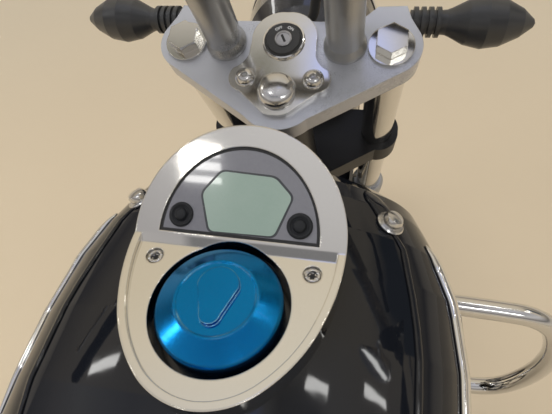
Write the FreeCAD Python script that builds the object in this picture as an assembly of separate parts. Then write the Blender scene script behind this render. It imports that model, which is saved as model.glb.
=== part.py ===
"""Cruiser motorcycle, standing on its centre stand.

Row frame: X to the rider's right, Y forward, Z up, millimetres. The origin is on the floor under the
middle of the machine. While it is modelled, Y is counted from the rear axle, and every piece is moved
by the same shift when it is written out.
"""
import FreeCAD, Part
import math
import os

from FreeCAD import Placement, Rotation, Vector

# Wheels and tyres
WHEELBASE = 1620.0
FRONT_TYRE_R = 315.0
FRONT_TYRE_HALF_W = 60.0
FRONT_TYRE_WALL = 79.0      # the tyre stands this far above its rim
REAR_TYRE_R = 318.0
REAR_TYRE_HALF_W = 82.0
REAR_TYRE_WALL = 106.0
REAR_LIFT = 18.0            # the centre stand holds the rear tyre this far off the floor
FRONT_DISC_R = 148.0
FRONT_GUARD_GAP = 31.0      # outer face of a mudguard above its tyre
REAR_GUARD_GAP = 48.0
GUARD_T = 3.0
GUARD_TIP = 8.0             # front mudguard's tip above straight ahead, degrees
AXLE_R = 10.0
AXLE_BORE_R = 6.0
RUN_GAP = 0.06              # gap between a turning piece and what carries it
SEAT_GAP = 0.2              # gap between two pieces of one assembly

# Steering geometry
RAKE = 30.5                 # steering axis from the vertical, degrees
FORK_OFFSET = 54.0          # fork legs ahead of the steering axis
FORK_HALF = 102.0           # half the distance between the fork legs
FORK_LENGTH = 730.5         # top face of the upper yoke down to the axle, along the legs
FORK_TUBE_R = 20.5
SLIDER_R = 26.5
SLIDER_LENGTH = 300.5       # axle up to the top of the sliders
STEM_R = 15.0
YOKE_T = 24.0
LOWER_YOKE_TOP = -195.0
LOWER_YOKE_T = 40.0
HEAD_TUBE_R = 27.0

# Handlebar
RISER_HALF = 59.0
RISER_R = 17.5
RISER_FOOT_R = 20.5
RISER_H = 98.0
BAR_R = 12.7
GRIP_R = 17.0
GRIP_L = 128.0

# Tank and its console, laid out from the filler cap
CAP_BACK = 214.0            # filler cap behind the stem
CAP_BELOW = 26.0            # and below it
CONSOLE_SLOPE = 4.0         # plate round the cap rises to the front, degrees
INSTRUMENT_SLOPE = 34.3     # and the instrument ahead of it
TANK_SLOPE = 10.0           # lie of the tank, degrees
CONSOLE_H = 12.0            # plate round the cap above the tank at the middle
CONSOLE_HALF_W = 79.5
CONSOLE_WIDEST = 52.0       # widest place, ahead of the cap
CONSOLE_FRONT = 72.5        # front end, ahead of the widest place
CONSOLE_TAIL = 118.5        # rear end, behind it
CONSOLE_RIM_W = 5.5
CONSOLE_RIM_H = 3.5         # rim above the plate
RAMP_FOOT = 42.0            # ramp from the plate up to the instrument, ahead of the cap
RAMP_TOP = 48.4
RAMP_H = 4.0
CAP_R = 43.0
CAP_HOLE_R = 48.0
CAP_TOP_R = 27.8
NECK_R = 24.0
LENS_HALF_W = 60.5
LENS_ARCH = 69.0            # height of the instrument's arch
LENS_EDGE = 2.1             # its straight edge, ahead of the ramp's top
LENS_STEP = 1.0             # the instrument lies this far under its surround
SCREW_AT = (58.0, 31.0)     # console screws, from the cap
SCREW_SINK_R = 6.6

# Frame
BACKBONE_R = 20.0
CRADLE_R = 14.0
RAIL_R = 12.0
CRADLE_HALF = 118.0
CRADLE_Z = 236.0
SWING_PIVOT = (505.0, 345.0)
SWING_HALF = 116.0
SHOCK_FOOT = (46.0, 14.0)   # lower shock eye ahead of and above the axle
SHOCK_TOP = (146.0, 646.0)
SHOCK_PIN_R = 9.0

# Engine
CRANK = (860.0, 395.0)
V_HALF = 36.0               # each cylinder from the vertical, degrees
CYL_FOOT = 95.0
CYL_TOP = 208.0
HEAD_TOP = 282.0
FIN_HALF = 78.0
FIN_T = 3.0
FIN_PITCH = 9.5
CASE_DROP = 132.0           # from the crank to the underside of the case
ENGINE_MOUNTS = (780.0, 920.0)

# Stands
STAND_PIVOT = (600.0, 215.0)
STAND_HALF = 104.0
STAND_FOOT_AHEAD = 32.0
STAND_PIN_R = 8.0
SIDE_PIVOT = (-151.0, 815.0, 236.0)
SIDE_LEG = 205.0

X_AXIS, Y_AXIS, Z_AXIS = Vector(1, 0, 0), Vector(0, 1, 0), Vector(0, 0, 1)
FRONT_RIM_R = FRONT_TYRE_R - FRONT_TYRE_WALL
REAR_RIM_R = REAR_TYRE_R - REAR_TYRE_WALL
FRONT_GUARD_R = FRONT_TYRE_R + FRONT_GUARD_GAP
REAR_GUARD_R = REAR_TYRE_R + REAR_GUARD_GAP
SEAL_W = SLIDER_LENGTH - FORK_LENGTH
REAR_AXLE = Vector(0, 0, REAR_TYRE_R + REAR_LIFT)
FRONT_AXLE = Vector(0, WHEELBASE, FRONT_TYRE_R)

_sin, _cos = math.sin(math.radians(RAKE)), math.cos(math.radians(RAKE))
STEM_TOP = FRONT_AXLE + Vector(0, -FORK_OFFSET * _cos - FORK_LENGTH * _sin,
                               -FORK_OFFSET * _sin + FORK_LENGTH * _cos)
FORK = Placement(STEM_TOP, Rotation(X_AXIS, RAKE))
CAP_POINT = STEM_TOP + Vector(0, -CAP_BACK, -CAP_BELOW)
CONSOLE = Placement(CAP_POINT, Rotation(X_AXIS, CONSOLE_SLOPE))
INSTRUMENT = CONSOLE.multiply(Placement(Vector(0, RAMP_TOP, RAMP_H), Rotation(X_AXIS, INSTRUMENT_SLOPE - CONSOLE_SLOPE)))
TANK = Placement(CAP_POINT, Rotation(X_AXIS, TANK_SLOPE))

# The main frame and what hangs on it are drawn with the stem's top at STEM_DRAWN, ahead of the rear axle and above
# the floor. The rear frame and what sits on it are drawn with the top of the rear mudguard at GUARD_DRAWN.
STEM_DRAWN = (1202.7, 917.0)
GUARD_DRAWN = 702.0
MAIN = Placement(Vector(0, STEM_TOP.y - STEM_DRAWN[0], STEM_TOP.z - STEM_DRAWN[1]), Rotation())
REAR = Placement(Vector(0, 0, REAR_AXLE.z + REAR_GUARD_R - GUARD_DRAWN), Rotation())

PLATE_GAP = 36.0            # rear face of the number plate behind the mudguard
PLATE_LOW = 94.0            # its lower edge above the axle
PLATE_W = 184.0
PLATE_H = 112.0
PLATE_HOLES = 146.0
PLATE_Y = -REAR_GUARD_R - PLATE_GAP
SHIFT_Y = -(WHEELBASE + FRONT_GUARD_R * math.cos(math.radians(GUARD_TIP)) + PLATE_Y) / 2


def at(place, x, y, z):
    """A point given in a tilted frame."""
    return place.multVec(Vector(x, y, z))


def put(shape, place):
    """The shape, built upright, moved into a tilted frame."""
    moved = shape.copy()
    moved.Placement = place.multiply(moved.Placement)
    return moved


def rod(a, b, r):
    return Part.makeCylinder(r, (b - a).Length, a, b - a)


def sleeve(a, b, outer, inner):
    return rod(a, b, outer).cut(rod(a, b, inner))


def mirrored(shape):
    return shape.mirror(Vector(0, 0, 0), X_AXIS)


def pair(shape):
    """A piece and its mirror image across the machine's middle."""
    return [shape, mirrored(shape)]


def joined(shapes):
    return shapes[0].multiFuse(shapes[1:])


def path(points, bend):
    """Straight runs joined by tangent arcs of one radius, or a radius per corner."""
    points = [Vector(*p) for p in points]
    corners = len(points) - 2
    radii = bend if isinstance(bend, (list, tuple)) else [bend] * corners
    edges, start = [], points[0]
    for corner, radius in zip(range(1, corners + 1), radii):
        here = points[corner]
        back = (points[corner - 1] - here).normalize()
        ahead = (points[corner + 1] - here).normalize()
        half = back.getAngle(ahead) / 2
        reach = radius / math.tan(half)
        centre_way = (back + ahead).normalize()
        centre = here + centre_way * (radius / math.sin(half))
        first, last = here + back * reach, here + ahead * reach
        edges.append(Part.makeLine(start, first))
        edges.append(Part.Arc(first, centre - centre_way * radius, last).toShape())
        start = last
    edges.append(Part.makeLine(start, points[-1]))
    return Part.Wire(edges)


def pipe(points, r, bend):
    """A round bar bent along a path."""
    spine = path(points, bend)
    start, second = Vector(*points[0]), Vector(*points[1])
    ring = Part.Wire([Part.Circle(start, second - start, r).toShape()])
    return spine.makePipeShell([ring], True, False)


def outline(start, steps):
    """A closed wire in the XY plane. A step of two numbers is a line's end, of four an arc's middle and end."""
    here, edges = Vector(start[0], start[1], 0), []
    for step in steps:
        end = Vector(step[-2], step[-1], 0)
        if len(step) == 2:
            edges.append(Part.makeLine(here, end))
        else:
            edges.append(Part.Arc(here, Vector(step[0], step[1], 0), end).toShape())
        here = end
    first = Vector(start[0], start[1], 0)
    if (here - first).Length > 1e-6:
        edges.append(Part.makeLine(here, first))
    return Part.Wire(edges)


def slab(wire, low, high):
    """The flat outline raised between two heights."""
    face = Part.Face(wire)
    face.translate(Vector(0, 0, low))
    return face.extrude(Vector(0, 0, high - low))


def half_slab(start, steps, low, high):
    """A slab given by its right half, closed on the middle line and mirrored."""
    right = slab(outline(start, steps), low, high)
    return right.fuse(mirrored(right)).removeSplitter()


def turned(points, centre, axis, start=None, angle=360.0):
    """A section given as (along, radius) pairs, turned about an axis through centre."""
    along = Vector(axis).normalize()
    out = start or (Z_AXIS if abs(along.z) < 0.9 else X_AXIS)
    spots = [centre + along * a + out * r for a, r in points]
    face = Part.Face(Part.makePolygon(spots + [spots[0]]))
    return face.revolve(centre, along, angle)


def side_slab(points, x_low, x_high):
    """An outline in the YZ plane, drawn as (y, z) pairs, raised along X."""
    spots = [Vector(x_low, y, z) for y, z in points]
    face = Part.Face(Part.makePolygon(spots + [spots[0]]))
    return face.extrude(Vector(x_high - x_low, 0, 0))


NODES = {}


def keep(name, *solids):
    """Stores the solids of one node."""
    NODES[name] = list(solids)


# Wheels

def tyre(centre, radius, half_w, rim_r):
    """Round-crowned tyre: crown and walls are arcs, the bead sits on the rim."""
    bead_w, inner = half_w * 0.62, rim_r + SEAT_GAP
    shoulder = radius - half_w * 0.52
    wall = (inner + shoulder) / 2

    def spot(x, r):
        return centre + Vector(x, 0, r)
    edges = [
        Part.Arc(spot(-half_w, shoulder), spot(0, radius), spot(half_w, shoulder)).toShape(),
        Part.Arc(spot(half_w, shoulder), spot(half_w * 0.99, wall), spot(bead_w, inner)).toShape(),
        Part.makeLine(spot(bead_w, inner), spot(-bead_w, inner)),
        Part.Arc(spot(-bead_w, inner), spot(-half_w * 0.99, wall), spot(-half_w, shoulder)).toShape(),
    ]
    return Part.Face(Part.Wire(edges)).revolve(centre, X_AXIS, 360)


def wheel(centre, rim_r, rim_half_w, hub_r, hub_half, spokes):
    """Cast wheel: rim, hub and pairs of tapered spokes in one casting."""
    depth, wall = 26.0, 8.0
    rim = turned([(-rim_half_w, rim_r), (-rim_half_w, rim_r - wall), (-rim_half_w + 14, rim_r - wall - 4),
                  (-16, rim_r - depth), (16, rim_r - depth), (rim_half_w - 14, rim_r - wall - 4),
                  (rim_half_w, rim_r - wall), (rim_half_w, rim_r)], centre, X_AXIS)
    hub = turned([(-hub_half, AXLE_R + RUN_GAP), (-hub_half, hub_r * 0.7), (-hub_half + 10, hub_r),
                  (hub_half - 10, hub_r), (hub_half, hub_r * 0.7), (hub_half, AXLE_R + RUN_GAP)],
                 centre, X_AXIS)
    arms = []
    foot, tip = hub_r - 8, rim_r - depth + 4
    for number in range(spokes):
        for lean in (-1, 1):
            blade = Part.makePolygon([Vector(-15, 2, foot), Vector(15, 2, foot), Vector(11, 24, tip),
                                      Vector(-11, 24, tip), Vector(-15, 2, foot)])
            arm = Part.Face(blade).extrude(Vector(0, 11, 0))
            if lean < 0:
                arm = arm.mirror(Vector(0, 0, 0), Y_AXIS)
            arm.rotate(Vector(0, 0, 0), X_AXIS, number * 360.0 / spokes)
            arm.translate(centre)
            arms.append(arm)
    return joined([rim, hub] + arms)


def disc(centre, x_low, x_high, r, hub_r):
    """Brake disc with a ring of cooling holes, on its carrier."""
    plate = turned([(x_low, hub_r), (x_low, r), (x_high, r), (x_high, hub_r)], centre, X_AXIS)
    holes = []
    for number in range(18):
        turn = math.radians(number * 20)
        reach = r - (10 if number % 2 else 22)
        spot = centre + Vector(x_low - 1, reach * math.cos(turn), reach * math.sin(turn))
        holes.append(Part.makeCylinder(4.0, x_high - x_low + 2, spot, X_AXIS))
    for number in range(6):
        turn = math.radians(number * 60 + 30)
        spot = centre + Vector(x_low - 1, 78 * math.cos(turn), 78 * math.sin(turn))
        holes.append(Part.makeCylinder(19.0, x_high - x_low + 2, spot, X_AXIS))
    return plate.cut(Part.makeCompound(holes))


def wheels():
    hub_r = 38.0
    disc_x = 65.0
    keep("front_tyre", tyre(FRONT_AXLE, FRONT_TYRE_R, FRONT_TYRE_HALF_W, FRONT_RIM_R))
    keep("front_wheel_casting", wheel(FRONT_AXLE, FRONT_RIM_R, 42.0, hub_r, 58.0, 5))
    boss = sleeve(FRONT_AXLE + Vector(-disc_x, 0, 0), FRONT_AXLE + Vector(-58.2, 0, 0), 36, 26)
    keep("front_brake_disc", disc(FRONT_AXLE, -disc_x - 5, -disc_x, FRONT_DISC_R, 26.0).fuse(boss))
    keep("rear_tyre", tyre(REAR_AXLE, REAR_TYRE_R, REAR_TYRE_HALF_W, REAR_RIM_R))
    drum = turned([(20, 40), (40, 96), (66, 96), (66, 40)], REAR_AXLE, X_AXIS)
    keep("rear_wheel_casting", wheel(REAR_AXLE, REAR_RIM_R, 58.0, hub_r + 6, 66.0, 5).fuse(drum))


# Front end, built in the fork's frame: X across, Y ahead of the steering axis, Z up along it

def yokes():
    ear = FORK_HALF
    plate = half_slab((0, 80), [(70, 80), (87, 97), (114, 98), (119, 84), (126, 72),
                                (131, 54, 116.5, 29), (30, -24), (17, -33, 0, -36)], -YOKE_T, 0)
    for x in (-ear, ear):
        plate = plate.cut(Part.makeCylinder(FORK_TUBE_R + SEAT_GAP, YOKE_T + 2, Vector(x, FORK_OFFSET, -YOKE_T - 1)))
    plate = plate.cut(Part.makeCylinder(STEM_R + SEAT_GAP, YOKE_T + 2, Vector(0, 0, -YOKE_T - 1)))
    plate = plate.cut(Part.makeCylinder(18.4, YOKE_T + 2, Vector(0, FORK_OFFSET, -YOKE_T - 1)))
    keep("upper_yoke", put(plate, FORK))

    low = LOWER_YOKE_TOP - LOWER_YOKE_T
    clamp = half_slab((0, 74), [(66, 84), (102, 84), (124, 75, 131, 54), (124, 33, 102, 25),
                                (34, -18), (20, -31, 0, -34)], low, LOWER_YOKE_TOP)
    for x in (-ear, ear):
        clamp = clamp.cut(Part.makeCylinder(FORK_TUBE_R + SEAT_GAP, LOWER_YOKE_T + 2, Vector(x, FORK_OFFSET, low - 1)))
    stem = Part.makeCylinder(STEM_R, 1 - LOWER_YOKE_TOP + 8, Vector(0, 0, LOWER_YOKE_TOP - 8))
    keep("lower_yoke", put(clamp.fuse(stem), FORK))

    cover = half_slab((0, 86), [(22, 79.5, 32, 54), (33, 39), (37, 31, 46, 24), (49, 10, 38, 0),
                                (16, -18), (9, -23, 0, -24)], 0, 5.5)
    cover = cover.cut(Part.makeCylinder(18.6, 8, Vector(0, FORK_OFFSET, -1)))
    cover = cover.cut(Part.makeCylinder(18.4, 8, Vector(0, 0, -1)))
    cover = put(cover, FORK)

    switch = turned([(-46, 0), (-46, 14), (-24, 18.2), (8, 18.2), (8, 17), (9.5, 16), (9.5, 0)],
                    Vector(0, FORK_OFFSET, 0), Z_AXIS)
    keep("ignition_switch", put(switch, FORK))

    hexagon = Part.makePolygon([Vector(16 * math.cos(math.radians(60 * k + 30)),
                                       16 * math.sin(math.radians(60 * k + 30)), 3) for k in range(7)])
    cap = Part.Face(hexagon).extrude(Vector(0, 0, 11)).fuse(Part.makeCylinder(21.5, 3))
    caps = []
    for x in (-ear, ear):
        one = cap.copy()
        one.translate(Vector(x, FORK_OFFSET, 0))
        caps.append(put(one, FORK))
    dome = turned([(1.2, 0), (1.2, 18), (9, 18), (14, 13), (16, 6), (16.4, 0)], Vector(0, 0, 0), Z_AXIS)
    keep("yoke_fittings", cover, *caps, put(dome, FORK))


def fork_legs():
    tubes, sliders = [], []
    lug_w = -FORK_LENGTH
    for side in (-1, 1):
        x = side * FORK_HALF
        spot = Vector(x, FORK_OFFSET, 0)
        tubes.append(put(Part.makeCylinder(FORK_TUBE_R, -SEAL_W + 60, spot + Vector(0, 0, SEAL_W - 60)), FORK))
        leg = turned([(SEAL_W, FORK_TUBE_R + SEAT_GAP), (SEAL_W, 25), (SEAL_W - 5, 29.5), (SEAL_W - 34, 29.5),
                      (SEAL_W - 40, SLIDER_R), (lug_w + 60, SLIDER_R), (lug_w + 30, 22), (lug_w - 16, 20),
                      (lug_w - 24, 15), (lug_w - 24, 0), (SEAL_W - 61, 0), (SEAL_W - 61, FORK_TUBE_R + SEAT_GAP)],
                     spot, Z_AXIS)
        lug = Part.makeCylinder(23, 44, Vector(x - 22, FORK_OFFSET, lug_w), X_AXIS)
        bore = Part.makeCylinder(AXLE_R + SEAT_GAP, 60, Vector(x - 30, FORK_OFFSET, lug_w), X_AXIS)
        sliders.append(put(leg.fuse(lug).cut(bore), FORK))
    keep("fork_tubes", *tubes)
    keep("fork_sliders", *sliders)
    ends = FORK_HALF + 30
    axle = sleeve(FRONT_AXLE - X_AXIS * ends, FRONT_AXLE + X_AXIS * ends, AXLE_R, AXLE_BORE_R)
    heads = [sleeve(FRONT_AXLE + X_AXIS * s * (FORK_HALF + 22.5), FRONT_AXLE + X_AXIS * s * ends, 15, AXLE_BORE_R)
             for s in (-1, 1)]
    collars = [sleeve(FRONT_AXLE + X_AXIS * s * (58 + RUN_GAP), FRONT_AXLE + X_AXIS * s * (FORK_HALF - 22.5),
                      15, AXLE_BORE_R) for s in (-1, 1)]
    keep("front_axle", joined([axle] + heads + collars))


def front_caliper():
    """Two-pot caliper behind the left slider, with a slot for the disc."""
    reach, x_mid = FRONT_DISC_R - 11, -67.5
    body = Part.makeBox(50, 76, 66, Vector(x_mid - 27, -38, -33))
    body = body.makeFillet(8, [e for e in body.Edges if abs(e.tangentAt(0).x) > 0.9])
    slot = Part.makeBox(15, 90, 60, Vector(x_mid - 7.5, -45, -42))
    body = body.cut(slot)
    body.rotate(Vector(0, 0, 0), X_AXIS, 62)
    way = Vector(0, -math.cos(math.radians(28)), math.sin(math.radians(28)))
    body.translate(Vector(0, 0, 0) + way * reach)
    body = body.cut(Part.makeCylinder(FRONT_DISC_R + 7, 15, Vector(x_mid - 7.5, 0, 0), X_AXIS))
    body.translate(Vector(0, FORK_OFFSET, -FORK_LENGTH))
    leg = Part.makeCylinder(SLIDER_R + SEAT_GAP, 320, Vector(-FORK_HALF, FORK_OFFSET, -FORK_LENGTH - 20))
    bracket = Part.makeBox(22, 100, 34, Vector(-101, FORK_OFFSET - 100, -FORK_LENGTH + 40))
    keep("front_caliper", put(body.fuse(bracket).cut(leg), FORK))


def fender(centre, radius, half_w, side_r, thick, start, end):
    """A mudguard: an arched section turned about the axle between two angles from straight ahead."""
    lift = Rotation(X_AXIS, start)

    def spot(x, r):
        return centre + lift.multVec(Vector(x, r, 0))
    outer = Part.Arc(spot(-half_w, side_r), spot(0, radius), spot(half_w, side_r)).toShape()
    inner = Part.Arc(spot(half_w - thick, side_r), spot(0, radius - thick), spot(-half_w + thick, side_r)).toShape()
    ends = [Part.makeLine(spot(half_w, side_r), spot(half_w - thick, side_r)),
            Part.makeLine(spot(-half_w + thick, side_r), spot(-half_w, side_r))]
    return Part.Face(Part.Wire([outer, ends[0], inner, ends[1]])).revolve(centre, X_AXIS, end - start)


def front_fender():
    half_w = FRONT_TYRE_HALF_W + 11
    guard = fender(FRONT_AXLE, FRONT_GUARD_R, half_w, FRONT_GUARD_R - 50, GUARD_T, GUARD_TIP, 168.0)
    stays = []
    for side in (-1, 1):
        leg = at(FORK, side * FORK_HALF, FORK_OFFSET, FRONT_TYRE_R + GUARD_T - FORK_LENGTH)
        tab = Part.makeBox(6, 90, 26, Vector(side * half_w - 3, leg.y - 60, leg.z - 13))
        hold = Part.makeBox(10, 24, 20, Vector(side * (half_w + 5) - 5, leg.y - 12, leg.z - 10))
        stays += [tab, hold]
    body = joined([guard] + stays)
    for side in (-1, 1):
        leg = Part.makeCylinder(30 + SEAT_GAP, 330, Vector(side * FORK_HALF, FORK_OFFSET, -FORK_LENGTH))
        body = body.cut(put(leg, FORK))
    keep("front_fender", body)


BAR_CENTRE = at(FORK, 0, FORK_OFFSET, RISER_H)
BAR_RUN = [(95, 0, 0), (182, -6, 52), (292, -62, 60), (428, -232, 26)]


def bar_points():
    right = [(x, BAR_CENTRE.y + y, BAR_CENTRE.z + z) for x, y, z in BAR_RUN]
    return [(-x, y, z) for x, y, z in reversed(right)] + right


def grip_line():
    """The right bar end and the way from it towards the middle along the grip."""
    end, start = Vector(*bar_points()[-1]), Vector(*bar_points()[-2])
    return end, (start - end).normalize()


def handlebar():
    risers = []
    for side in (-1, 1):
        spot = Vector(side * RISER_HALF, FORK_OFFSET, 0)
        post = turned([(0, 0), (0, RISER_FOOT_R), (4, RISER_FOOT_R), (12, RISER_R), (RISER_H, RISER_R), (RISER_H, 0)],
                      spot, Z_AXIS)
        clamp = Part.makeCylinder(22, 36, spot + Vector(-18, 0, RISER_H), X_AXIS)
        bore = Part.makeCylinder(BAR_R + SEAT_GAP, 50, spot + Vector(-25, 0, RISER_H), X_AXIS)
        risers.append(put(post.fuse(clamp).cut(bore), FORK))
    keep("handlebar", *risers, pipe(bar_points(), BAR_R, [50, 50, 60, 60, 50, 50]))
    end, inward = grip_line()
    grip = rod(end - inward * 6, end + inward * GRIP_L, GRIP_R).cut(
        rod(end - inward * 0.5, end + inward * (GRIP_L + 5), BAR_R + SEAT_GAP))
    keep("grips", *pair(grip))
    begin = end + inward * (GRIP_L + 0.5)
    ahead = (Y_AXIS - inward * Y_AXIS.dot(inward)).normalize()
    ahead = (ahead + Vector(0, 0, -0.15)).normalize()
    upward = ahead.cross(inward).normalize()
    arm_at = begin + inward * 57
    stalk_at = arm_at + ahead * 23
    lever_at = arm_at + ahead * 44
    hole = rod(begin - inward * 5, begin + inward * 90, BAR_R + SEAT_GAP)
    body = joined([rod(begin, begin + inward * 44, 21), rod(begin + inward * 40, begin + inward * 70, 17.5),
                   rod(arm_at + ahead * 6 - upward * 6, lever_at - upward * 9, 5.5),
                   rod(arm_at + ahead * 6, stalk_at, 8),
                   rod(stalk_at - Z_AXIS * 4, stalk_at + Z_AXIS * 14, 9),
                   rod(lever_at - upward * 10, lever_at - upward * 0.2, 10),
                   rod(lever_at - upward * 5, lever_at + upward * 10, 4)])
    body = body.cut(hole)
    keep("switch_housings", *pair(body))
    tip = lever_at - inward * 178 + ahead * 14
    bow = lever_at - inward * 45 + ahead * 16
    lift = upward * 6.2
    lever = joined([pipe([tuple(lever_at + lift), tuple(bow + lift), tuple(tip + lift)], 5.5, 60),
                    Part.makeSphere(8.5, tip + lift), rod(lever_at + upward * 0.2, lever_at + upward * 12, 10)])
    lever = lever.cut(rod(lever_at - upward * 5, lever_at + upward * 20, 4 + SEAT_GAP))
    keep("hand_levers", *pair(lever))
    foot = stalk_at + Z_AXIS * 14.2
    head = foot + Vector(78, -36, 146)
    stalk = pipe([tuple(foot), tuple(foot + Vector(0, 0, 52)), tuple(head)], 5.0, 30)
    face = Part.Face(Part.Wire([Part.Ellipse(Vector(0, 0, 0), 66, 41).toShape()]))
    shell = face.extrude(Vector(0, 0, 22))
    shell = shell.makeFillet(9, [e for e in shell.Edges if abs(e.CenterOfMass.z - 22) < 1 and len(e.Vertexes) < 2])
    glass = Part.Face(Part.Wire([Part.Ellipse(Vector(0, 0, -2.5), 62, 37).toShape()])).extrude(Vector(0, 0, 2.3))
    turn = Rotation(Z_AXIS, -14).multiply(Rotation(X_AXIS, -84))
    place = Placement(head + Vector(10, -11, 38), turn)
    keep("mirrors", *(pair(put(shell, place).fuse(stalk)) + pair(put(glass, place))))


LAMP_C = Vector(0, STEM_TOP.y + 232, STEM_TOP.z - 50)


def headlamp():
    r, back = 88.0, 100.0
    shell = turned([(-back, 0), (-back, 22), (-back + 12, 46), (-back + 36, 68), (-45, 82), (-12, r), (26, r + 3),
                    (30, r - 7), (-12, r - 7), (-12, 0)], LAMP_C, Y_AXIS)
    keep("headlamp_shell", shell)
    lens = turned([(-11.5, 0), (-11.5, r - 7.5), (26, r - 7.5), (33, r * 0.7), (38, r * 0.35), (39.5, 0)], LAMP_C, Y_AXIS)
    keep("headlamp_lens", lens)
    brackets = [NODES["lower_yoke"][0]]
    for side in (-1, 1):
        top = at(FORK, side * FORK_HALF, FORK_OFFSET, -92)
        clamp = put(Part.makeBox(10, 30, 134, Vector(side * 97 - 5, FORK_OFFSET + 14, LOWER_YOKE_TOP - 20)), FORK)
        arm = side_slab([(top.y + 20, top.z - 20), (top.y + 20, top.z + 18), (LAMP_C.y - 6, LAMP_C.z + 17),
                         (LAMP_C.y + 8, LAMP_C.z), (LAMP_C.y - 6, LAMP_C.z - 17)], side * 97 - 3.5, side * 97 + 3.5)
        bolt = rod(Vector(side * (r + 1.5), LAMP_C.y - 8, LAMP_C.z), Vector(side * 104, LAMP_C.y - 8, LAMP_C.z), 9)
        hole = put(Part.makeCylinder(FORK_TUBE_R + SEAT_GAP, 160, Vector(side * FORK_HALF, FORK_OFFSET, -240)), FORK)
        brackets.append(joined([clamp, arm, bolt]).cut(hole))
    keep("lower_yoke", joined(brackets))


def signal(root, side, lens_way):
    """A turn signal: ribbed stalk and spindle pod along X, its lens on the side that lens_way gives."""
    ribs = [(0, 0), (0, 11)]
    for rib in range(4):
        ribs += [(3 + rib * 7, 11), (3 + rib * 7, 14), (7 + rib * 7, 14), (7 + rib * 7, 11)]
    pod = ribs + [(34, 11.5), (38, 13), (52, 20), (68, 23.5), (84, 21), (100, 13), (111, 4), (113, 0)]
    body = turned([(a * side, r) for a, r in pod], root, X_AXIS)
    front = Part.makeBox(72, 60, 60, root + Vector(side * 74 - 36, 9 if lens_way > 0 else -69, -30))
    return body.cut(front), body.common(front)


def front_signals():
    pods = []
    for side in (-1, 1):
        root = at(FORK, side * 116, 90, -13)
        root.x = side * 118.0
        pod, lens = signal(root, side, 1)
        pods.append(pod.fuse(lens))
    yoke = NODES["upper_yoke"][0]
    keep("front_signals", *[p.cut(yoke) for p in pods])


# Tank

TANK_SECTIONS = [           # along, top, bottom, half width, crown radius, side radius
    (166.0, -70.0, -118.0, 73.0, 110.0, 34.0),
    (152.0, -38.0, -140.0, 129.0, 180.0, 58.0),
    (118.0, -22.0, -158.0, 155.0, 260.0, 84.0),
    (50.0, -16.0, -160.0, 184.0, 330.0, 96.0),
    (-60.0, -8.5, -150.0, 181.0, 360.0, 92.0),
    (-170.0, -19.0, -138.0, 173.0, 320.0, 80.0),
    (-300.0, -38.0, -130.0, 128.0, 230.0, 62.0),
    (-415.0, -62.0, -122.0, 76.0, 150.0, 40.0),
]
TANK_STATIONS = [-415, -360, -300, -235, -170, -115, -60, -5, 50, 86, 118, 137, 152, 161, 166]


def tank_section(along, top, bottom, half_w, crown, side):
    """One closed section across the tank: crown arc, two side arcs tangent to it, and a flat floor."""
    lean = math.asin((half_w - side) / (crown - side))
    sx, sz = crown * math.sin(lean), top - crown + crown * math.cos(lean)
    cx, cz = sx - side * math.sin(lean), sz - side * math.cos(lean)
    drop = math.asin(min(0.98, (cz - bottom) / side))
    bx, bz = cx + side * math.cos(drop), cz - side * math.sin(drop)
    middle = (math.pi / 2 - lean - drop) / 2
    mx, mz = cx + side * math.cos(middle), cz + side * math.sin(middle)

    def spot(x, z):
        return Vector(x, along, z)
    return Part.Wire([
        Part.Arc(spot(-sx, sz), spot(0, top), spot(sx, sz)).toShape(),
        Part.Arc(spot(sx, sz), spot(mx, mz), spot(bx, bz)).toShape(),
        Part.makeLine(spot(bx, bz), spot(-bx, bz)),
        Part.Arc(spot(-bx, bz), spot(-mx, mz), spot(-sx, sz)).toShape(),
    ])


HEAD_JOIN = at(FORK, 0, -16, -118)
BACKBONE_END = at(MAIN, 0, 610, 650)


def between(rows, along):
    """The row of the table at one station, by a smooth curve through the rows."""
    rows = sorted(rows)
    k = max(1, min(len(rows) - 2, sum(1 for row in rows if row[0] <= along) - 1))
    k = 0 if along < rows[1][0] else k
    a, b = rows[k], rows[k + 1]
    before, after = rows[max(0, k - 1)], rows[min(len(rows) - 1, k + 2)]
    t = (along - a[0]) / (b[0] - a[0])
    out = [along]
    for j in range(1, len(a)):
        m0 = (b[j] - before[j]) / (b[0] - before[0]) * (b[0] - a[0])
        m1 = (after[j] - a[j]) / (after[0] - a[0]) * (b[0] - a[0])
        out.append((2 * t**3 - 3 * t**2 + 1) * a[j] + (t**3 - 2 * t**2 + t) * m0
                   + (3 * t**2 - 2 * t**3) * b[j] + (t**3 - t**2) * m1)
    return out


def tank_body():
    rings = [tank_section(*between(TANK_SECTIONS, along)) for along in TANK_STATIONS]
    return put(Part.makeLoft(rings, True, True), TANK)


def ellipse_run(w, depth, middle, ways):
    """Arcs that follow a quarter of an ellipse about (0, middle), from the first way in degrees to the last."""
    def spot(turn):
        a = math.radians(turn)
        return w * math.cos(a), middle + depth * math.sin(a)
    return [spot((a + b) / 2) + spot(b) for a, b in zip(ways, ways[1:])]


def console_outline(grow):
    """An egg, given by its right half: half an ellipse in front of the widest place and a longer one behind."""
    w, front, tail = CONSOLE_HALF_W + grow, CONSOLE_FRONT + grow, CONSOLE_TAIL + grow
    steps = ellipse_run(w, front, CONSOLE_WIDEST, (90, 60, 30, 0)) + ellipse_run(w, tail, CONSOLE_WIDEST, (0, -30, -60, -90))
    return (0, CONSOLE_WIDEST + front), steps


def lens_outline(grow):
    """Half an ellipse on a straight edge, given by its right half."""
    w, arch, edge = LENS_HALF_W + grow, LENS_ARCH + 2 * grow, LENS_EDGE - grow
    return (0, edge + arch), ellipse_run(w, arch, edge, (90, 60, 30, 0)) + [(0, edge)]


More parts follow.
